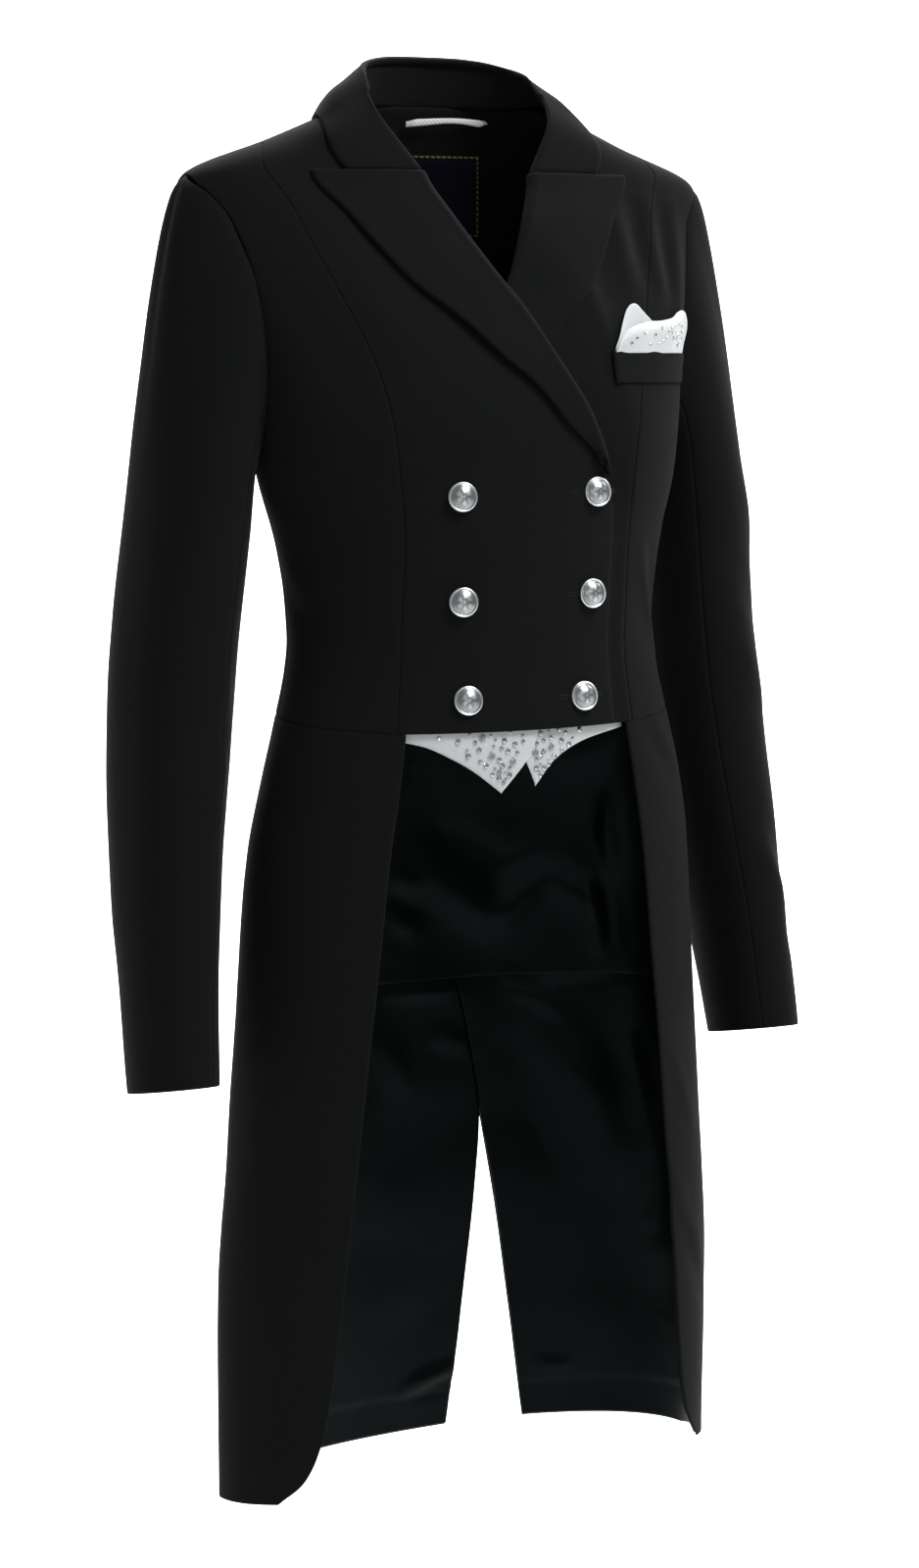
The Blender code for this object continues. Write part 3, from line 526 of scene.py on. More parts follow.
# Creases as for the body, on the lining's face: negative depths stand in towards the wearer
LINING_CREASES = [
    (15, -4.2, ((182, -0.528), (173, -0.545), (160, -0.568), (150, -0.553), (143, -0.530))),
    (11, 2.2, ((178, -0.503), (168, -0.518), (156, -0.533), (148, -0.520))),
    (10, -3.0, ((143, -0.530), (139, -0.548), (132, -0.560), (126, -0.556))),
    (7, -2.4, ((188, -0.532), (184, -0.541), (179, -0.548))),
    (7, -2.2, ((189, -0.560), (184, -0.572), (178, -0.580))),
    (8, -3.2, ((122, -0.478), (124, -0.511), (122, -0.548))),
    (9, -2.6, ((133, -0.530), (130, -0.570), (128, -0.606))),
    (8, 1.8, ((126, -0.540), (124, -0.575), (123, -0.606))),
    (6, -1.6, ((190, -0.618), (178, -0.623), (168, -0.620))),
    (7, -2.0, ((158, -0.621), (148, -0.632), (140, -0.650))),
    (22, -4.0, ((146, -0.640), (134, -0.701), (123, -0.760), (114, -0.815))),
    (16, 1.8, ((156, -0.650), (148, -0.720), (140, -0.800))),
    (7, -1.6, ((177, -0.652), (172, -0.660), (167, -0.668))),
    (9, -1.8, ((192, -0.650), (187, -0.672), (183, -0.700))),
    (9, -2.2, ((116, -0.655), (110, -0.685), (107, -0.720))),
    (6, -2.6, ((184, -0.917), (178, -0.909), (171, -0.902))),
    (5, 1.6, ((182, -0.922), (176, -0.917), (172, -0.912))),
    (5, -1.4, ((152, -0.906), (147, -0.910), (142, -0.909))),
    (16, -2.4, ((196, -0.690), (204, -0.780), (210, -0.870))),
    (14, 1.8, ((206, -0.640), (216, -0.730), (222, -0.820))),
    (12, -2.0, ((226, -0.520), (214, -0.548), (200, -0.560))),
    (12, -1.8, ((232, -0.450), (206, -0.470), (186, -0.462))),
    (14, -2.0, ((110, -0.430), (132, -0.452), (158, -0.446))),
    (16, -2.2, ((150, -0.150), (172, -0.190), (196, -0.188))),
    (13, -1.6, ((220, -0.230), (200, -0.262), (176, -0.268)))]


def bagged(angle, height, points):
    """How deep the face of the lining lies behind the cloth's face; it never comes through it."""
    depth = -0.0042 - 0.0020 * eased(height, -0.26, -0.12) + 0.0030 * eased(height, -0.040, -0.005)
    bags = creased(points, LINING_CREASES) + 0.0011 * uneven(points, 0.045, 11.0)
    return np.minimum(depth + bags, -0.0030)


def opposite(line):
    """A seam line on the wearer's right as angles that run on round the back."""
    return np.column_stack([360 - line[:, 0], line[:, 1]])


at = along(BACK, steps(0.46, 0.0045) * 11.8 / 12, 4, [0, 1])
at[:, [3, 5]] += 0.0075 * eased(np.arange(len(at)), len(at) - 9, len(at) - 1)[:, None]
around = [opposite(at[:, 0:2]), opposite(at[:, 2:4]), at[:, 4:6], at[:, 2:4], at[:, 0:2]]
middle = np.linspace(0, 1, 22)
grid = on_body(around, [first_half, middle, middle, second_half], 1, bagged)
lining = cloth("lining_back_satin", grid, LINING_THICK, (satin,), 0.0004, facing=-1)
lining.data.materials.append(wool)
for face in lining.data.polygons:
    face.material_index = int(face.center.z > NECK_FACING)
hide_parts("lining_back")


def skirt_lines(at):
    """Lines of the lining inside both tails, from the wearer's right front edge round to the left."""
    return [opposite(line) for line in tail_lines(-1, at)] + tail_lines(1, at)[-2::-1]


def tucked(angle, height, points):
    """Depth of the skirt's lining, whose top is laid behind the back's and covers the waist seam."""
    rows = np.arange(len(height))[:, None]
    return bagged(angle, height, points) + 0.0012 * (1 - eased(rows, 2, 6))


seam_share = 3 / 10
edge = np.linspace(0, 1, 12)
lines = skirt_lines((seam_share + 0.004) * steps(0.20, 0.0036))
for line in lines:
    line[:, 1] += 0.0045 * (1 - eased(np.arange(len(line)), 0, 7))
spread = [edge, np.linspace(0, 1, 30), np.linspace(0, 1, 26)]
grid = on_body(lines, spread + spread[::-1], 1, tucked)
lining = cloth("lining_skirt_satin", grid[:, 2:-2], LINING_THICK, (satin,), 0.0006, facing=-1)
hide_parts("lining_skirt")


def hemmed(angle, height, points):
    """Depth of a tail's lining: its top is under the skirt's edge, and it bags over at the hem."""
    return (bagged(angle, height, points) + 0.0012 * eased(height, -0.6220, -0.6140)
            - 0.0010 * eased(height, -0.9230, -0.9180))


to_seam = np.append(np.linspace(0, 0.978, 22), [0.990, 0.997, 1.0])
for tag, side, wide, area in (("right", -1, 0.34, 0.107), ("left", 1, 0.26, 0.076)):
    lines = tail_lines(side, seam_share + (0.992 - seam_share) * steps(0.34, 0.0036))
    grid = on_body(lines, [np.linspace(0, 1, 30), np.linspace(0, 1, 24), to_seam], side, hemmed)
    lining = cloth(f"lining_tail_{tag}_satin", grid[:, 1:], LINING_THICK, (satin,), 0.0006, facing=-1)
    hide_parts(f"lining_tail_{tag}")

# Lapels
# Wide peaked lapels of the same twill, faced and canvassed, pressed over at a soft roll line and
# lying on the fronts. The right one is on top; its lower edge lifts a little off the chest.
# angle and height of the roll line and of the outer edge, stand-off of the edge
LAPEL = np.array([
    (-22.9, -0.2440, -21.5, -0.2400, 0.0009),
    (-19.5, -0.2270, -16.2, -0.2262, 0.0014),
    (-14.5, -0.2030, -9.2, -0.2108, 0.0022),
    (-10.2, -0.1840, -1.5, -0.1860, 0.0030),
    (-6.6, -0.1671, 5.6, -0.1666, 0.0034),
    (-2.8, -0.1470, 13.2, -0.1413, 0.0034),
    (1.2, -0.1230, 20.6, -0.1191, 0.0030),
    (4.8, -0.0980, 26.6, -0.0905, 0.0024),
    (8.2, -0.0720, 31.0, -0.0670, 0.0016),
    (11.2, -0.0470, 36.8, -0.0462, 0.0010)])
# distance from the roll line and from the front's face
LAPEL_ROLL = [(0.0190, -0.0035), (0.0100, -0.0036), (0.0020, -0.0036), (-0.0015, -0.0026),
              (-0.0030, 0.0002), (-0.0022, 0.0030), (0.0012, 0.0046), (0.0060, 0.0044)]
LAPEL_THICK, LAPEL_REST = 0.0022, 0.0009
lapel_tops = {}
for tag, side in (("left", 1), ("right", -1)):
    grid = []
    for roll_angle, roll_height, edge_angle, edge_height, stand in along(LAPEL, steps(0.24, 0.0030)):
        roll, rim = np.array([roll_angle, roll_height]), np.array([edge_angle, edge_height])
        flat = float(eased(-roll_height, 0.075, 0.120)) if side > 0 else 0.0
        width = np.linalg.norm(trunk(*rim) - trunk(*roll))
        reach = min(1.0, 0.75 * width / LAPEL_ROLL[0][0])
        line = [(x * reach if x > 0 else x, min(y, y + (0.0018 - y) * flat)) for x, y in LAPEL_ROLL]
        last = line[-1]
        stand += (LAPEL_REST - stand) * flat
        line += [(last[0] + (width - last[0]) * k / 6,
                  last[1] + (stand + LAPEL_REST - last[1]) * float(eased(k / 6, 0, 1)))
                 for k in range(1, 7)]
        out, off = curve(line, np.append(np.linspace(0, 12.7, 52), [12.86, 12.95, 13.0])).T
        cells = roll + (rim - roll) * (out / width)[:, None]
        level = off + (sunk(cells[:, 0], cells[:, 1]) if side > 0 else 0.0)
        grid.append(trunk(*cells.T) + trunk_normal(*cells.T) * level[:, None])
    grid = np.array(grid)
    normals = directions(grid)
    grid += normals * (LAPEL_THICK / 2 + 0.0005 * uneven(grid, 0.05, 8.0))[..., None]
    lapel_tops[tag] = grid[-1]
    grid = grid * (side, 1, 1)
    lapel = cloth(f"lapel_{tag}_cloth", grid, LAPEL_THICK, (wool,), 0.0008)
    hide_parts(f"lapel_{tag}")

# Collar
# One collar of the same twill round the neck: the stand rises from the neck seam and the fall turns
# over it. Its front ends are sewn to the tops of the lapels, up to the notch.
# neck seam x y z, top of the fold x y z, outer edge x y z
COLLAR = np.array([
    (0.0000, 0.0476, 0.0006, 0.0000, 0.0430, 0.0335, 0.0000, 0.0660, -0.0120),
    (0.0322, 0.0408, 0.0006, 0.0295, 0.0372, 0.0325, 0.0500, 0.0575, -0.0125),
    (0.0580, 0.0230, 0.0006, 0.0520, 0.0232, 0.0280, 0.0850, 0.0410, -0.0105),
    (0.0700, 0.0040, 0.0012, 0.0622, 0.0040, 0.0195, 0.0985, 0.0045, -0.0070),
    (0.0685, -0.0125, -0.0030, 0.0640, -0.0150, 0.0020, 0.1020, -0.0165, -0.0150),
    (0.0610, -0.0225, -0.0150, 0.0600, -0.0300, -0.0160, 0.1010, -0.0305, -0.0275),
    (0.0460, -0.0326, -0.0402, 0.0478, -0.0436, -0.0416, 0.0898, -0.0385, -0.0425)])
# share of the lapel's top that the collar is sewn to; rows from its middle to an end, the first and
# the last of those that are smoothed into the lapel, and how often
NOTCH, COLLAR_ROWS, FIRST_ROW, LAST_ROW, PASSES = 0.80, 64, 38, 63, 24
mirrored = COLLAR[1] * np.tile([-1, 1, 1], 3)
half = []
for line in along(np.vstack([mirrored, COLLAR]), np.linspace(1 / 7, 1, COLLAR_ROWS)):
    seam, fold, rim = line[0:3], line[3:6], line[6:9]
    out, up = unit((rim - seam) * (1, 1, 0)), np.array([0, 0, 1.0])
    rise = np.linalg.norm(fold - seam)
    bend = min(0.0032, rise * 0.35 + 0.0008)
    row = [seam, fold - up * bend * 0.9, fold + out * bend * 0.15,
           fold + out * bend * 0.9 + up * bend * 0.25, fold + out * bend * 1.9 - up * bend * 0.35]
    for share in (0.30, 0.52, 0.76, 1.0):
        bulge = 0.0045 * math.sin(math.pi * share) * min(1, rise / 0.02)
        row.append(fold + (rim - fold) * share + (out + up * 0.6) * bulge)
    share = np.interp(np.arange(48), [0, 12, 18, 24, 47], [0.0, 1.0, 2.0, 3.0, 7.8])
    half.append(curve(row, np.append(share, [7.9, 7.96, 8.0])))
half = np.array(half)
count = half.shape[1]
sewn = np.append(np.linspace(2, 14, 14), np.linspace(14, NOTCH * 54, count - 13)[1:])
gorge = curve(lapel_tops["right"], sewn) + (0, 0, 0.0004)
pull = eased(np.linspace(0, 1, COLLAR_ROWS), 0.72, 1.0)[:, None, None]
half = half + (gorge - half[-1]) * pull
end = half[FIRST_ROW:LAST_ROW]
for _ in range(PASSES):
    end[:] = end / 2 + (half[FIRST_ROW - 1:LAST_ROW - 1] + half[FIRST_ROW + 1:LAST_ROW + 1]) / 4
    end[:, 1:-1] = end[:, 1:-1] / 2 + (end[:, :-2] + end[:, 2:]) / 4
whole = np.concatenate([half[:0:-1] * (-1, 1, 1), half])
whole += directions(whole) * LAPEL_THICK / 2
collar = cloth("collar_cloth", whole, LAPEL_THICK, (wool,), 0.0008, (0.0, 0.0, -0.05))
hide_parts("collar")

# Sleeves
# Two-piece sleeves of the lined twill, bent at the elbow: an upper sleeve round the outside and an
# under sleeve on the inside, eased into the armhole with a soft head and turned in at the cuff.
# height, middle x, middle y, half width, half depth, forward tilt in degrees
SLEEVE = np.array([
    (-0.285, 0.1920, 0.0110, 0.0400, 0.0600, 0.0),
    (-0.340, 0.1985, 0.0130, 0.0403, 0.0590, 1.0),
    (-0.400, 0.2045, 0.0115, 0.0400, 0.0580, 4.0),
    (-0.460, 0.2105, 0.0040, 0.0380, 0.0560, 8.0),
    (-0.520, 0.2165, -0.0080, 0.0345, 0.0520, 10.0),
    (-0.580, 0.2215, -0.0230, 0.0312, 0.0465, 11.5),
    (-0.653, 0.2255, -0.0395, 0.0292, 0.0410, 12.0)])
HEAD_FOOT, CUFF = SLEEVE[0, 0], SLEEVE[-1, 0]
# turn round the sleeve, trunk angle, height, stand of the sleeve head, reach of its swell
ARMHOLE = np.array([
    (0.0, 90.0, -0.0485, 0.0120, 0.085),
    (30.0, 68.0, -0.0640, 0.0130, 0.080),
    (62.0, 65.0, -0.1060, 0.0130, 0.060),
    (90.0, 69.5, -0.1480, 0.0110, 0.045),
    (120.0, 79.0, -0.2020, 0.0080, 0.030),
    (150.0, 90.0, -0.2340, 0.0050, 0.015),
    (180.0, 102.0, -0.2430, 0.0040, 0.010),
    (210.0, 111.0, -0.2270, 0.0050, 0.020),
    (240.0, 115.5, -0.1900, 0.0090, 0.035),
    (270.0, 115.0, -0.1420, 0.0120, 0.050),
    (300.0, 111.0, -0.1080, 0.0135, 0.060),
    (332.0, 101.0, -0.0630, 0.0130, 0.080),
    (360.0, 90.0, -0.0485, 0.0120, 0.085)])
FRONT_SLEEVE_SEAM, BACK_SLEEVE_SEAM = 118.0, 238.0
# width and depth in millimetres, then turn and height along each crease
SLEEVE_CREASES = {
    "right": [(18, -2.0, ((96, -0.270), (70, -0.300), (40, -0.330))),
              (15, -2.4, ((128, -0.380), (96, -0.395), (62, -0.425))),
              (14, 1.8, ((126, -0.405), (98, -0.425), (72, -0.455))),
              (13, -1.8, ((132, -0.440), (104, -0.455), (80, -0.490))),
              (20, 1.6, ((20, -0.200), (14, -0.330), (18, -0.470), (22, -0.600))),
              (20, -1.4, ((52, -0.300), (50, -0.420), (56, -0.560))),
              (10, -1.8, ((112, -0.300), (111, -0.430), (112, -0.560), (113, -0.640))),
              (16, -1.8, ((250, -0.330), (282, -0.370), (318, -0.380))),
              (14, 1.5, ((246, -0.420), (276, -0.440), (306, -0.430))),
              (14, -1.5, ((250, -0.520), (286, -0.545), (320, -0.540)))],
    "left": [(16, -2.2, ((60, -0.250), (30, -0.290), (-6, -0.310))),
             (13, 1.8, ((96, -0.300), (66, -0.330), (40, -0.372))),
             (14, -2.4, ((104, -0.360), (70, -0.390), (44, -0.430))),
             (11, 1.9, ((84, -0.500), (58, -0.528), (36, -0.566))),
             (10, -1.9, ((90, -0.522), (64, -0.552), (44, -0.588))),
             (9, 1.6, ((60, -0.556), (46, -0.580), (34, -0.604))),
             (20, 1.5, ((8, -0.200), (4, -0.340), (8, -0.480), (6, -0.620))),
             (16, -1.8, ((246, -0.350), (280, -0.385), (314, -0.392))),
             (14, 1.5, ((250, -0.440), (284, -0.462), (310, -0.452)))]}


def sleeve_tube(turn, height):
    """Points of the left sleeve below its head, by the turn from its outside to its front."""
    turn, height = np.broadcast_arrays(np.asarray(turn, float), np.asarray(height, float))
    rings = smooth(np.column_stack([-SLEEVE[:, 0], SLEEVE]), -np.clip(height, CUFF, HEAD_FOOT))
    _, z, x, y, wide, deep, tilt = np.moveaxis(rings, -1, 0)
    dx, dy = wide * np.cos(np.radians(turn)), -deep * np.sin(np.radians(turn))
    lift = np.maximum(height - HEAD_FOOT, 0)
    return np.stack([x + dx - lift * 0.12, y + dy, z + lift - dy * np.tan(np.radians(tilt))], axis=-1)


def sleeve_grid(turns):
    """A net down the left sleeve from the armhole to the cuff at each turn."""
    _, angle, height, stand, swell = np.moveaxis(smooth(ARMHOLE, turns % 360), -1, 0)
    rad = np.radians(turns)
    leave = unit(np.stack([np.ones_like(rad), -0.25 * np.sin(rad), 0.12 * np.cos(rad)], axis=-1))
    length = HEAD_FOOT - CUFF
    heights = HEAD_FOOT - length * steps(length, 0.0042)[3:]
    below = sleeve_tube(turns, np.append([HEAD_FOOT, HEAD_FOOT - 0.004], heights)[:, None])
    goal, axis = below[0], unit(below[0] - below[1])
    first = trunk(angle, height) - trunk_normal(angle, height) * 0.0009 - leave * 0.0001
    pull = first + leave * (stand + 0.0016)[:, None]
    push = goal + axis * swell[:, None]
    u = np.append([0, 0.02, 0.05], np.linspace(0.09, 1, 38)[:-1])[:, None, None]
    head = (1 - u)**3 * first + 3 * (1 - u)**2 * u * pull + 3 * (1 - u) * u**2 * push + u**3 * goal
    return np.concatenate([head, below[:1], below[2:]])


inside = BACK_SLEEVE_SEAM - FRONT_SLEEVE_SEAM
upper_turns = BACK_SLEEVE_SEAM - 360 + (360 - inside) * steps(0.21, 0.0036)
under_turns = FRONT_SLEEVE_SEAM + inside * steps(0.10, 0.0036)
for tag, side in (("right", -1), ("left", 1)):
    for kind, turns, flat, area in (("upper", upper_turns, (0.34, 0.62), 0.106),
                                    ("under", under_turns, (0.125, 0.49), 0.0457)):
        grid = sleeve_grid(turns)
        out = -directions(grid)
        rise = creased(grid, SLEEVE_CREASES[tag], sleeve_tube)
        rise += 0.0006 * uneven(grid, 0.06, 5.0 + side)
        rise *= eased(np.arange(len(grid)), 2, 14)[:, None]
        grid = (grid + out * rise[..., None]) * (side, 1, 1)
        middle = (0.205 * side, 0.0, None)
        sleeve = cloth(f"{kind}_sleeve_{tag}_cloth", grid, WOOL_THICK, (wool, satin), 0.0006,
                       middle)
        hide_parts(f"{kind}_sleeve_{tag}")

# Breast pocket
# A welt of the same twill on the wearer's left, its ends sewn down, and a folded square of white
# satin standing out of it: one fold behind, one turned over in front.
# angle and height of the lower and the upper corner at each end of the welt
WELT = (((25.5, -0.1857), (24.4, -0.1644)), ((65.0, -0.1872), (65.5, -0.1672)))
# angle and height of the upper edge of the two folds
SQUARE_BACK = np.array([
    (25.3, -0.1635), (26.8, -0.1560), (28.4, -0.1460), (30.0, -0.1380), (32.0, -0.1341),
    (34.0, -0.1346), (36.2, -0.1392), (39.0, -0.1447), (42.0, -0.1500)])
SQUARE_FRONT = np.array([
    (25.3, -0.1641), (27.0, -0.1560), (30.0, -0.1508), (34.0, -0.1477), (39.0, -0.1455),
    (44.5, -0.1450), (50.0, -0.1432), (55.0, -0.1388), (58.5, -0.1378), (61.0, -0.1395)])

SQUARE_FOOT = -0.1670

ends = [np.array(end) for end in WELT]
rows = steps(0.022, 0.0022)[:, None]
lines = [end[0] + (end[1] - end[0]) * rows for end in ends]
grid = on_body(lines, [steps(0.085, 0.0022)], 1,
               lambda angle, height, points: 0.0022 + 0.0008 * eased(height, -0.180, -0.166))
welt = cloth("pocket_welt_cloth", grid, 0.0019, (wool,), 0.0008)
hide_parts("pocket_welt")

# White satin: a bright, closely woven cloth with a soft sheen and fine creases.
white, tree, shader = begun("White_satin", Roughness=0.42, Sheen_Weight=0.25, Specular_IOR_Level=0.5)
place = add(tree, "ShaderNodeUVMap", uv_map="cut").outputs["UV"]
weft = add(tree, "ShaderNodeTexNoise", {"Scale": 1.0, "Detail": 2.0, "Vector": add(
    tree, "ShaderNodeMapping", {"Vector": place, "Scale": (500, 2200, 1)}).outputs["Vector"]})
crumple = add(tree, "ShaderNodeTexNoise", {"Scale": 110.0, "Detail": 3.0, "Vector": place})
finished(tree, shader, weft.outputs["Fac"], "#a9adae", "#c4c8c9", crumple.outputs["Fac"], 0.3, 0.001)


def strip(edge, foot, rows, columns, level, corner=0):
    """A net from a straight foot or top to a shaped edge, both given by angle and height."""
    shaped = along(edge, columns, corner, [0, 1])
    lines = [np.column_stack([np.full(len(rows), a), foot + (z - foot) * rows]) for a, z in shaped]
    cells = np.stack(lines, axis=1)
    angle, height = cells[..., 0], cells[..., 1]
    points = trunk(angle, height)
    rise = creased(points, CREASES) + level(cells, rows)
    return points + trunk_normal(angle, height) * rise[..., None]


def back_fold(cells, rows):
    """Level of the square's back fold: it leans out to its peak and ripples."""
    return 0.0016 + 0.0016 * rows[:, None] + 0.0009 * np.sin(np.radians(cells[..., 0] * 19))


def front_fold(cells, rows):
    """Level of the square's front fold, a roll that is fullest just under its edge."""
    swell = np.sin(np.pi * np.clip(rows, 0, 1) ** 1.6)[:, None]
    return 0.0034 + 0.0022 * swell + 0.0006 * np.sin(np.radians(cells[..., 0] * 23 + 40))


rows, columns = steps(0.028, 0.0016), steps(0.075, 0.0016)
for name, rim, level, thick, wide, area in (
        ("back", SQUARE_BACK, back_fold, 0.0009, 0.06, 0.0011),
        ("front", SQUARE_FRONT, front_fold, 0.0012, 0.095, 0.0018)):
    grid = strip(rim, SQUARE_FOOT, rows, columns, level)
    square = cloth(f"pocket_square_{name}_satin", grid, thick, (white,), 0.0004)
    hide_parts(f"pocket_square_{name}")

# Waistcoat points
# Two false waistcoat points of padded white satin, caught behind the front hem; the right one hangs
# over the left. Their lower edges sweep to a sharp tip.
VEST_TOP = -0.4080
# angle and height of the lower edge
VEST_RIGHT = np.array([(-36.0, -0.4200), (-27.0, -0.4255), (-16.0, -0.4392), (-7.1, -0.4564),
                       (0.5, -0.4345), (4.0, -0.4175)])
VEST_LEFT = np.array([(-3.0, -0.4200), (0.5, -0.4380), (2.8, -0.4533), (9.3, -0.4359),
                      (19.6, -0.4245), (36.0, -0.4180)])


def puffed(depth):
    """Level of a waistcoat point behind the front, padded away from its edges."""
    def level(cells, rows):
        across = np.linspace(0, 1, cells.shape[1])[None, :]
        swell = np.sin(np.pi * np.clip(rows, 0, 1))[:, None] ** 0.6 * np.sin(np.pi * across) ** 0.5
        return depth + 0.0012 * swell - 0.0002
    return level


for tag, rim, corner, depth, area in (("right", VEST_RIGHT, 3, -0.0043, 0.0028),
                                      ("left", VEST_LEFT, 2, -0.0062, 0.0021)):
    grid = strip(rim, VEST_TOP, steps(0.04, 0.0016), steps(0.10, 0.0016), puffed(depth), corner)
    point = cloth(f"vest_point_{tag}_satin", grid, 0.0016, (white,), 0.0006)
    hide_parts(f"vest_point_{tag}")

# Crystals
# Small round glass stones with a foiled back and a few star-shaped ones, glued in a loose scatter on
# the waistcoat points and, closer together at one end, on the front fold of the pocket square.
# angle, height, millimetres across; the star-shaped stones are the widest ones
STONES = {
    "vest_point_right_satin": [
        (-25.0, -0.4182, 2.7), (-19.5, -0.4207, 3.4), (-16.2, -0.4163, 2.0), (-12.6, -0.4185, 4.8),
        (-10.2, -0.4173, 2.0), (-14.7, -0.4215, 2.7), (-8.9, -0.4204, 2.0), (-6.3, -0.4212, 3.4),
        (-0.9, -0.4184, 2.0), (-0.9, -0.4224, 2.7), (-3.3, -0.4237, 3.4), (-9.5, -0.4246, 2.0),
        (-7.2, -0.4261, 2.7), (-13.5, -0.4264, 3.4), (-17.0, -0.4265, 2.0), (-16.5, -0.4301, 3.4),
        (-9.9, -0.4304, 4.8), (-5.4, -0.4281, 3.4), (-2.7, -0.4295, 2.7), (-4.0, -0.4350, 4.8),
        (-7.9, -0.4336, 3.4), (-13.2, -0.4340, 2.7), (-11.5, -0.4369, 3.4), (-7.0, -0.4375, 3.4),
        (-5.0, -0.4392, 2.7), (-9.1, -0.4393, 2.0), (-9.8, -0.4430, 2.7), (-7.9, -0.4420, 3.4),
        (-6.3, -0.4426, 2.0), (-5.0, -0.4440, 3.4), (-7.9, -0.4459, 3.4), (-6.2, -0.4466, 2.0),
        (-6.7, -0.4490, 2.7), (-4.5, -0.4160, 2.0)],
    "vest_point_left_satin": [
        (4.9, -0.4178, 3.4), (7.5, -0.4169, 2.0), (10.8, -0.4160, 3.4), (12.9, -0.4184, 2.7),
        (17.8, -0.4172, 3.4), (7.9, -0.4209, 2.7), (5.6, -0.4226, 2.7), (3.6, -0.4243, 2.7),
        (11.3, -0.4235, 3.4), (15.1, -0.4226, 2.0), (13.7, -0.4262, 3.4), (7.8, -0.4268, 4.8),
        (3.0, -0.4299, 4.8), (5.4, -0.4300, 3.4), (11.2, -0.4296, 2.7), (4.6, -0.4330, 2.7),
        (3.2, -0.4348, 2.7), (6.7, -0.4349, 2.0), (8.6, -0.4334, 3.4), (3.0, -0.4404, 3.4),
        (4.2, -0.4384, 2.0), (5.3, -0.4408, 3.4), (6.9, -0.4389, 2.7), (3.7, -0.4432, 2.0),
        (4.2, -0.4458, 2.7)],
    "pocket_square_front_satin": [
        (35.3, -0.1546, 2.2), (32.0, -0.1582, 2.2), (30.3, -0.1612, 2.2), (40.2, -0.1555, 2.2),
        (38.2, -0.1612, 2.2), (42.5, -0.1608, 1.6), (43.7, -0.1510, 2.2), (48.5, -0.1508, 2.2),
        (53.4, -0.1474, 2.2), (56.4, -0.1524, 2.2), (52.9, -0.1549, 2.2), (49.3, -0.1573, 2.2),
        (45.9, -0.1570, 1.6), (52.2, -0.1575, 1.6), (55.6, -0.1595, 2.2), (54.1, -0.1620, 2.2),
        (44.3, -0.1592, 1.6), (56.0, -0.1491, 1.6), (50.9, -0.1490, 1.6), (46.6, -0.1530, 1.6),
        (57.6, -0.1570, 1.6), (48.3, -0.1541, 1.6), (50.6, -0.1526, 1.6)]}

# Foiled glass: a mirror behind glass facets, grey where it sees the dark and white where it sees a
# lamp.
glass, tree, shader = begun("Foiled_crystal_glass", Metallic=1.0, Roughness=0.12, Coat_Weight=0.6)
cloud = add(tree, "ShaderNodeTexNoise", {"Scale": 700.0, "Detail": 1.0,
            "Vector": add(tree, "ShaderNodeTexCoord").outputs["Object"]})
finished(tree, shader, cloud.outputs["Fac"], "#8d9397", "#eef1f2")


def stone(corners, waist):
    """One stone a metre across on the ground: a girdle, a ring of facets and a flat table."""
    bpy.ops.object.select_all(action="DESELECT")
    bpy.ops.mesh.primitive_circle_add(vertices=corners, radius=0.5, fill_type="NGON")
    made = bpy.context.object
    for k, corner in enumerate(made.data.vertices):
        corner.co *= waist if k % 2 else 1.0
    bpy.ops.object.mode_set(mode="EDIT")
    bpy.ops.mesh.select_all(action="SELECT")
    for rise, share in ((0.10, 1.0), (0.16, 0.80), (0.10, 0.72)):
        bpy.ops.mesh.extrude_region_move(TRANSFORM_OT_translate={"value": (0, 0, rise)})
        bpy.ops.transform.resize(value=(share, share, 1), center_override=(0, 0, rise))
    bpy.ops.mesh.select_all(action="SELECT")
    bpy.ops.mesh.normals_make_consistent(inside=False)
    bpy.ops.object.mode_set(mode="OBJECT")
    made.data.materials.append(glass)
    return made


def copied(pattern, name):
    """A copy of a piece, with a mesh of its own."""
    made = bpy.data.objects.new(name, pattern.data.copy())
    bpy.context.collection.objects.link(made)
    return made


patterns = {"round": stone(8, 1.0), "star": stone(10, 0.48)}
chance = random.Random(4)
for base, spots in STONES.items():
    under = bpy.data.objects[base]
    bpy.ops.object.select_all(action="DESELECT")
    for angle, height, size in spots:
        out = Vector(trunk_normal(angle, height))
        _, spot, facing, _ = under.ray_cast(Vector(trunk(angle, height)) + out * 0.02, -out)
        copy = copied(patterns["star" if size > 4 else "round"], "stone")
        turn = Matrix.Rotation(chance.uniform(0, math.tau), 4, "Z")
        lean = Matrix.Rotation(chance.uniform(0, 0.16), 4, Vector((chance.uniform(-1, 1), 1, 0)))
        settled = facing.to_track_quat("Z", "Y").to_matrix().to_4x4() @ lean @ turn
        copy.data.transform(Matrix.Translation(spot) @ settled @ Matrix.Scale(size * 0.0012, 4))
        copy.select_set(True)
        bpy.context.view_layer.objects.active = copy
    bpy.ops.object.join()
    crystals = bpy.context.object
    crystals.name = base.replace("satin", "crystals")
    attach(crystals, "root")
for pattern in patterns.values():
    bpy.data.objects.remove(pattern)

# Buttons and buttonholes
# Six stamped silver buttons, domed inside a raised rim, with a plain rosette in place of a crest, and
# corded buttonholes in black silk of which only the ends show.
# side, x and height of each
BUTTONS = [(-1, 0.0486, -0.2587), (-1, 0.0460, -0.3280), (-1, 0.0424, -0.3935),
           (1, 0.0510, -0.2574), (1, 0.0498, -0.3254), (1, 0.0438, -0.3944)]
BUTTON_RADIUS, BUTTON_HEIGHT, BUTTON_LEAN = 0.0100, 0.0052, 0.6
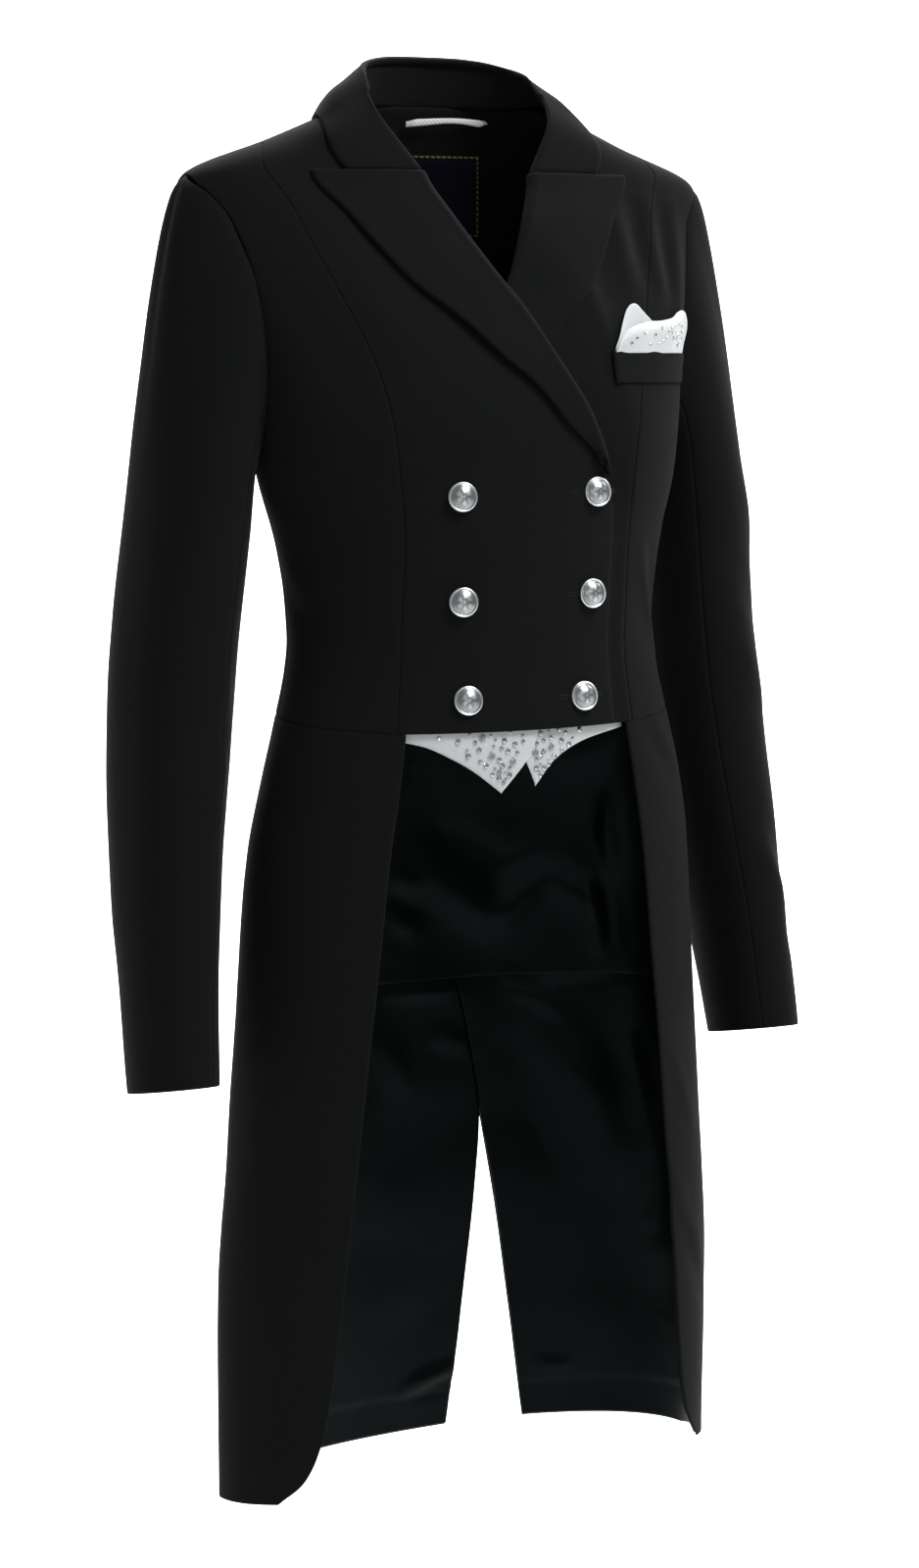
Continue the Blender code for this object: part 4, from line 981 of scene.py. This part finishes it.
# share of the radius and of the height, from the back round the rim and up the dome
BUTTON_PROFILE = [(0.88, 0.00), (0.97, 0.05), (1.00, 0.17), (0.99, 0.32), (0.955, 0.42), (0.91, 0.46),
                  (0.87, 0.43), (0.84, 0.36), (0.80, 0.37), (0.74, 0.47), (0.64, 0.60), (0.53, 0.71),
                  (0.42, 0.80), (0.31, 0.87), (0.21, 0.92), (0.12, 0.95), (0.05, 0.96)]

# Stamped silver: polished on the rim and the raised rosette, brushed and darker in the field.
silver, tree, shader = begun("Stamped_silver", Metallic=1.0, Roughness=0.3)
spot = add(tree, "ShaderNodeTexCoord").outputs["Object"]
stain = add(tree, "ShaderNodeTexNoise", {"Scale": 450.0, "Detail": 3.0, "Vector": spot})
polish = add(tree, "ShaderNodeVertexColor", layer_name="polish")
field = add(tree, "ShaderNodeMix", {0: stain.outputs["Fac"], 6: linear("#85888a"),
            7: linear("#a3a6a8")}, data_type="RGBA")
finished(tree, shader, polish.outputs["Color"], field.outputs[2], "#d9dbdc",
         stain.outputs["Fac"], 0.12, 0.0003)


def on_rosette(face):
    """Whether a face of the button's dome belongs to the rosette's six petals or its middle."""
    away = face.center.xy.length / BUTTON_RADIUS
    turn = math.degrees(math.atan2(face.center.y, face.center.x)) % 60
    petal = 0.21 < away < 0.53 and abs(turn - 30) < 19
    return (petal or away < 0.14) and face.normal.z > 0.5


bpy.ops.object.select_all(action="DESELECT")
bpy.ops.mesh.primitive_circle_add(vertices=64, radius=BUTTON_RADIUS * BUTTON_PROFILE[0][0],
                                  fill_type="NGON")
pattern = bpy.context.object
bpy.ops.object.mode_set(mode="EDIT")
bpy.ops.mesh.select_all(action="SELECT")
for (wide, low), (next_wide, high) in zip(BUTTON_PROFILE, BUTTON_PROFILE[1:]):
    rise, share = (high - low) * BUTTON_HEIGHT, next_wide / wide
    bpy.ops.mesh.extrude_region_move(TRANSFORM_OT_translate={"value": (0, 0, rise)})
    bpy.ops.transform.resize(value=(share, share, 1), center_override=(0, 0, high * BUTTON_HEIGHT))
bpy.ops.mesh.select_all(action="SELECT")
bpy.ops.mesh.normals_make_consistent(inside=False)
picked(pattern, "FACE", on_rosette)
bpy.ops.mesh.inset(thickness=0.00015, depth=0.00022)
bpy.ops.object.mode_set(mode="OBJECT")
raised = [face.index for face in pattern.data.polygons if face.select]
colours = pattern.data.color_attributes.new("polish", "FLOAT_COLOR", "CORNER")
for face in pattern.data.polygons:
    away = face.center.xy.length / BUTTON_RADIUS
    bright = 1.0 if away > 0.85 else 0.6 if face.index in raised else 0.0
    for corner in face.loop_indices:
        colours.data[corner].color = (bright, bright, bright, 1.0)
pattern.data.materials.append(silver)
bpy.ops.object.select_all(action="DESELECT")
pattern.select_set(True)
bpy.ops.object.shade_smooth_by_angle(angle=math.radians(38))


def seat(side, x, height):
    """Angle, direction and place of a button on the creased front; it leans to the front and up."""
    half, square = smooth(TRUNK, height)[[1, 5]]
    angle = math.degrees(math.asin((x / half) ** (square / 2))) * side
    point, out = trunk(angle, height), trunk_normal(angle, height)
    pull = Vector((-0.2 - 3.0 * max(x * side, 0), -1, 0.3)).normalized()
    settled = (Vector(out) + BUTTON_LEAN * pull).normalized()
    tilt = BUTTON_RADIUS * 0.5 * settled.angle(Vector(out))
    return angle, settled, Vector(point + out * (rippled(point[None])[0] + 0.0002 + tilt))


for number, spot in enumerate(BUTTONS, 1):
    angle, out, place = seat(*spot)
    button = copied(pattern, f"button_{number}_silver")
    turned = out.to_track_quat("Z", "Y").to_matrix().to_4x4()
    button.data.transform(Matrix.Translation(place) @ turned)
    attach(button, "root")
    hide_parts(f"button_{number}")
bpy.data.objects.remove(pattern)

# Buttonhole silk: black twisted thread, a little glossier than the twill. Its twist is drawn 1.2 mm
# long, twice its real size.
HOLE_LENGTH, HOLE_START, METRES_A_DEGREE = 0.0200, 0.0108, 0.00148
silk, tree, shader = begun("Silk_thread", Roughness=0.5, Specular_IOR_Level=0.12)
twist = add(tree, "ShaderNodeTexWave", {"Scale": 260.0, "Distortion": 1.0,
            "Vector": add(tree, "ShaderNodeTexCoord").outputs["Object"]})
finished(tree, shader, twist.outputs["Fac"], "#080808", "#131414")

bpy.ops.object.select_all(action="DESELECT")
bpy.ops.mesh.primitive_torus_add(major_radius=0.0011, minor_radius=0.00042, major_segments=24,
                                 minor_segments=8)
pattern = bpy.context.object
bpy.ops.object.mode_set(mode="EDIT")
bpy.ops.mesh.select_all(action="DESELECT")
bpy.ops.object.mode_set(mode="OBJECT")
for corner in pattern.data.vertices:
    corner.select = corner.co.x > 0.0001
bpy.ops.object.mode_set(mode="EDIT")
bpy.ops.mesh.select_mode(type="VERT")
bpy.ops.transform.translate(value=(HOLE_LENGTH, 0, 0))
bpy.ops.object.mode_set(mode="OBJECT")
pattern.data.materials.append(silk)
for number, spot in enumerate(BUTTONS[3:], 4):
    angle, out, place = seat(*spot)
    buttonhole = copied(pattern, f"buttonhole_{number}_silk")
    cover = bpy.data.objects["front_right_cloth"]
    for corner in buttonhole.data.vertices:
        spot = (angle + (corner.co.x - HOLE_START) / METRES_A_DEGREE, place.z + corner.co.y)
        under, facing = Vector(trunk(*spot)), Vector(trunk_normal(*spot))
        found, hit, _, _ = cover.ray_cast(under + facing * 0.01, -facing)
        corner.co = (hit if found else under) + facing * (corner.co.z * 0.7 + 0.0001)
    buttonhole.data.shade_smooth()
    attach(buttonhole, "root")
bpy.data.objects.remove(pattern)

# Neck label and hanging loop
# A woven navy patch with a border of gold thread, sewn to the facing at the back of the neck and left
# bare, and a loop of white tape above it to hang the coat by.
# the label's sides are where x less this share of y has these values
LABEL_SLANT, LABEL_RIGHT, LABEL_LEFT = 0.496, -0.0491, 0.0226
LABEL_FOOT, LABEL_TOP = -0.0860, -0.0310

levels = LABEL_FOOT + (LABEL_TOP - LABEL_FOOT) * steps(0.055, 0.0020)
places = LABEL_RIGHT + (LABEL_LEFT - LABEL_RIGHT) * steps(0.072, 0.0020)
turns = np.linspace(202, 150, 209)
inwards = trunk_normal(turns, np.full(len(turns), -0.080)) * (-1, -1, 0)
# the label lies on the facing, which stands deeper inside towards its top
grid = []
for level in levels:
    depth = 0.0086 + 0.0046 * eased(level, -0.062, -0.034)
    ring = trunk(turns, np.full(len(turns), level)) + inwards * depth
    across = ring[:, 0] - LABEL_SLANT * ring[:, 1]
    grid.append(np.stack([np.interp(places, across, ring[:, axis]) for axis in range(3)], axis=1))
grid = np.array(grid)
wide = np.linalg.norm(np.diff(grid[len(levels) // 2], axis=0), axis=1).sum()
high = LABEL_TOP - LABEL_FOOT

# Label weave: navy polyester damask, matt, with dashes of gold thread round the border, each about
# 2.5 mm long and 1 mm from the edge.
weave, tree, shader = begun("Label_damask", Roughness=0.7, Sheen_Weight=0.03, Specular_IOR_Level=0.08)
place = add(tree, "ShaderNodeUVMap", uv_map="cut").outputs["UV"]
inward = add(tree, "ShaderNodeAttribute", attribute_name="from_rim")
band = add(tree, "ShaderNodeMath", {0: inward.outputs["Fac"], 1: 0.0010, 2: 0.0005},
           operation="COMPARE")
slant = add(tree, "ShaderNodeTexWave", {"Vector": place, "Scale": 150.0, "Distortion": 0.3},
            bands_direction="DIAGONAL")
dash = add(tree, "ShaderNodeMath", {0: slant.outputs["Fac"], 1: 0.35}, operation="GREATER_THAN")
gilt = add(tree, "ShaderNodeMath", {0: band.outputs[0], 1: dash.outputs[0]}, operation="MULTIPLY")
pick = add(tree, "ShaderNodeTexNoise", {"Vector": place, "Scale": 1500.0, "Detail": 2.0})
navy = add(tree, "ShaderNodeMix", {0: pick.outputs["Fac"], 6: linear("#080a13"),
           7: linear("#0e1222")}, data_type="RGBA")
finished(tree, shader, gilt.outputs[0], navy.outputs[2], "#857636", gilt.outputs[0], 0.5, 0.0004)
label = cloth("neck_label_weave", grid, 0.0007, (weave,), 0.0003, facing=-1)
across, down = lengths(grid, 1), lengths(grid, 0)
from_rim = np.minimum.reduce([across, across[:, -1:] - across, down, down[-1:] - down]).ravel()
corners = np.array([corner.co for corner in label.data.vertices])
nearest = np.linalg.norm(corners[:, None] - grid.reshape(-1, 3), axis=2).argmin(axis=1)
label.data.attributes.new("from_rim", "FLOAT", "POINT").data.foreach_set("value", from_rim[nearest])
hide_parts("neck_label")

# Herringbone tape: white polyester, softly glossy, its ribs drawn 2 mm apart, coarser than real ones.
tape, tree, shader = begun("Polyester_tape", Roughness=0.5, Specular_IOR_Level=0.4)
place = add(tree, "ShaderNodeUVMap", uv_map="cut").outputs["UV"]
chevron = add(tree, "ShaderNodeTexWave", {"Vector": place, "Scale": 220.0},
              bands_direction="DIAGONAL")
finished(tree, shader, chevron.outputs["Fac"], "#b9bab8", "#dcdddb",
         chevron.outputs["Fac"], 0.4, 0.0002)
share = steps(0.055, 0.0014)
turns = 151.0 + 34.0 * share
inwards = trunk_normal(turns, np.full(len(turns), -0.0100)) * (-1, -1, 0)
stand = 0.0080 + 0.0018 * eased(np.sin(np.pi * share), 0, 0.25) + 0.0030 * np.sin(np.pi * share)
arch = 0.0016 * np.sin(np.pi * np.clip(share, 0, 1))
foot = trunk(turns, -0.0120) + inwards * stand[:, None]
foot[:, 2] += arch + 0.0030 * (1 - eased(share, 0.0, 0.16)) + 0.0014 * np.sin(np.pi * share) ** 2
ledge = trunk(turns, -0.0120)[:, 2] + 0.0050 + arch - 0.0012 * eased(share, 0.88, 1.0)
rise = np.linspace(0, 1, 6)[:, None, None] * (ledge - foot[:, 2])[None, :, None]
grid = foot + rise * np.array([0, 0, 1.0]) + inwards * rise * 0.08
loop = cloth("hanging_loop_tape", grid, 0.0008, (tape,), 0.0003, facing=-1)
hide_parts("hanging_loop")
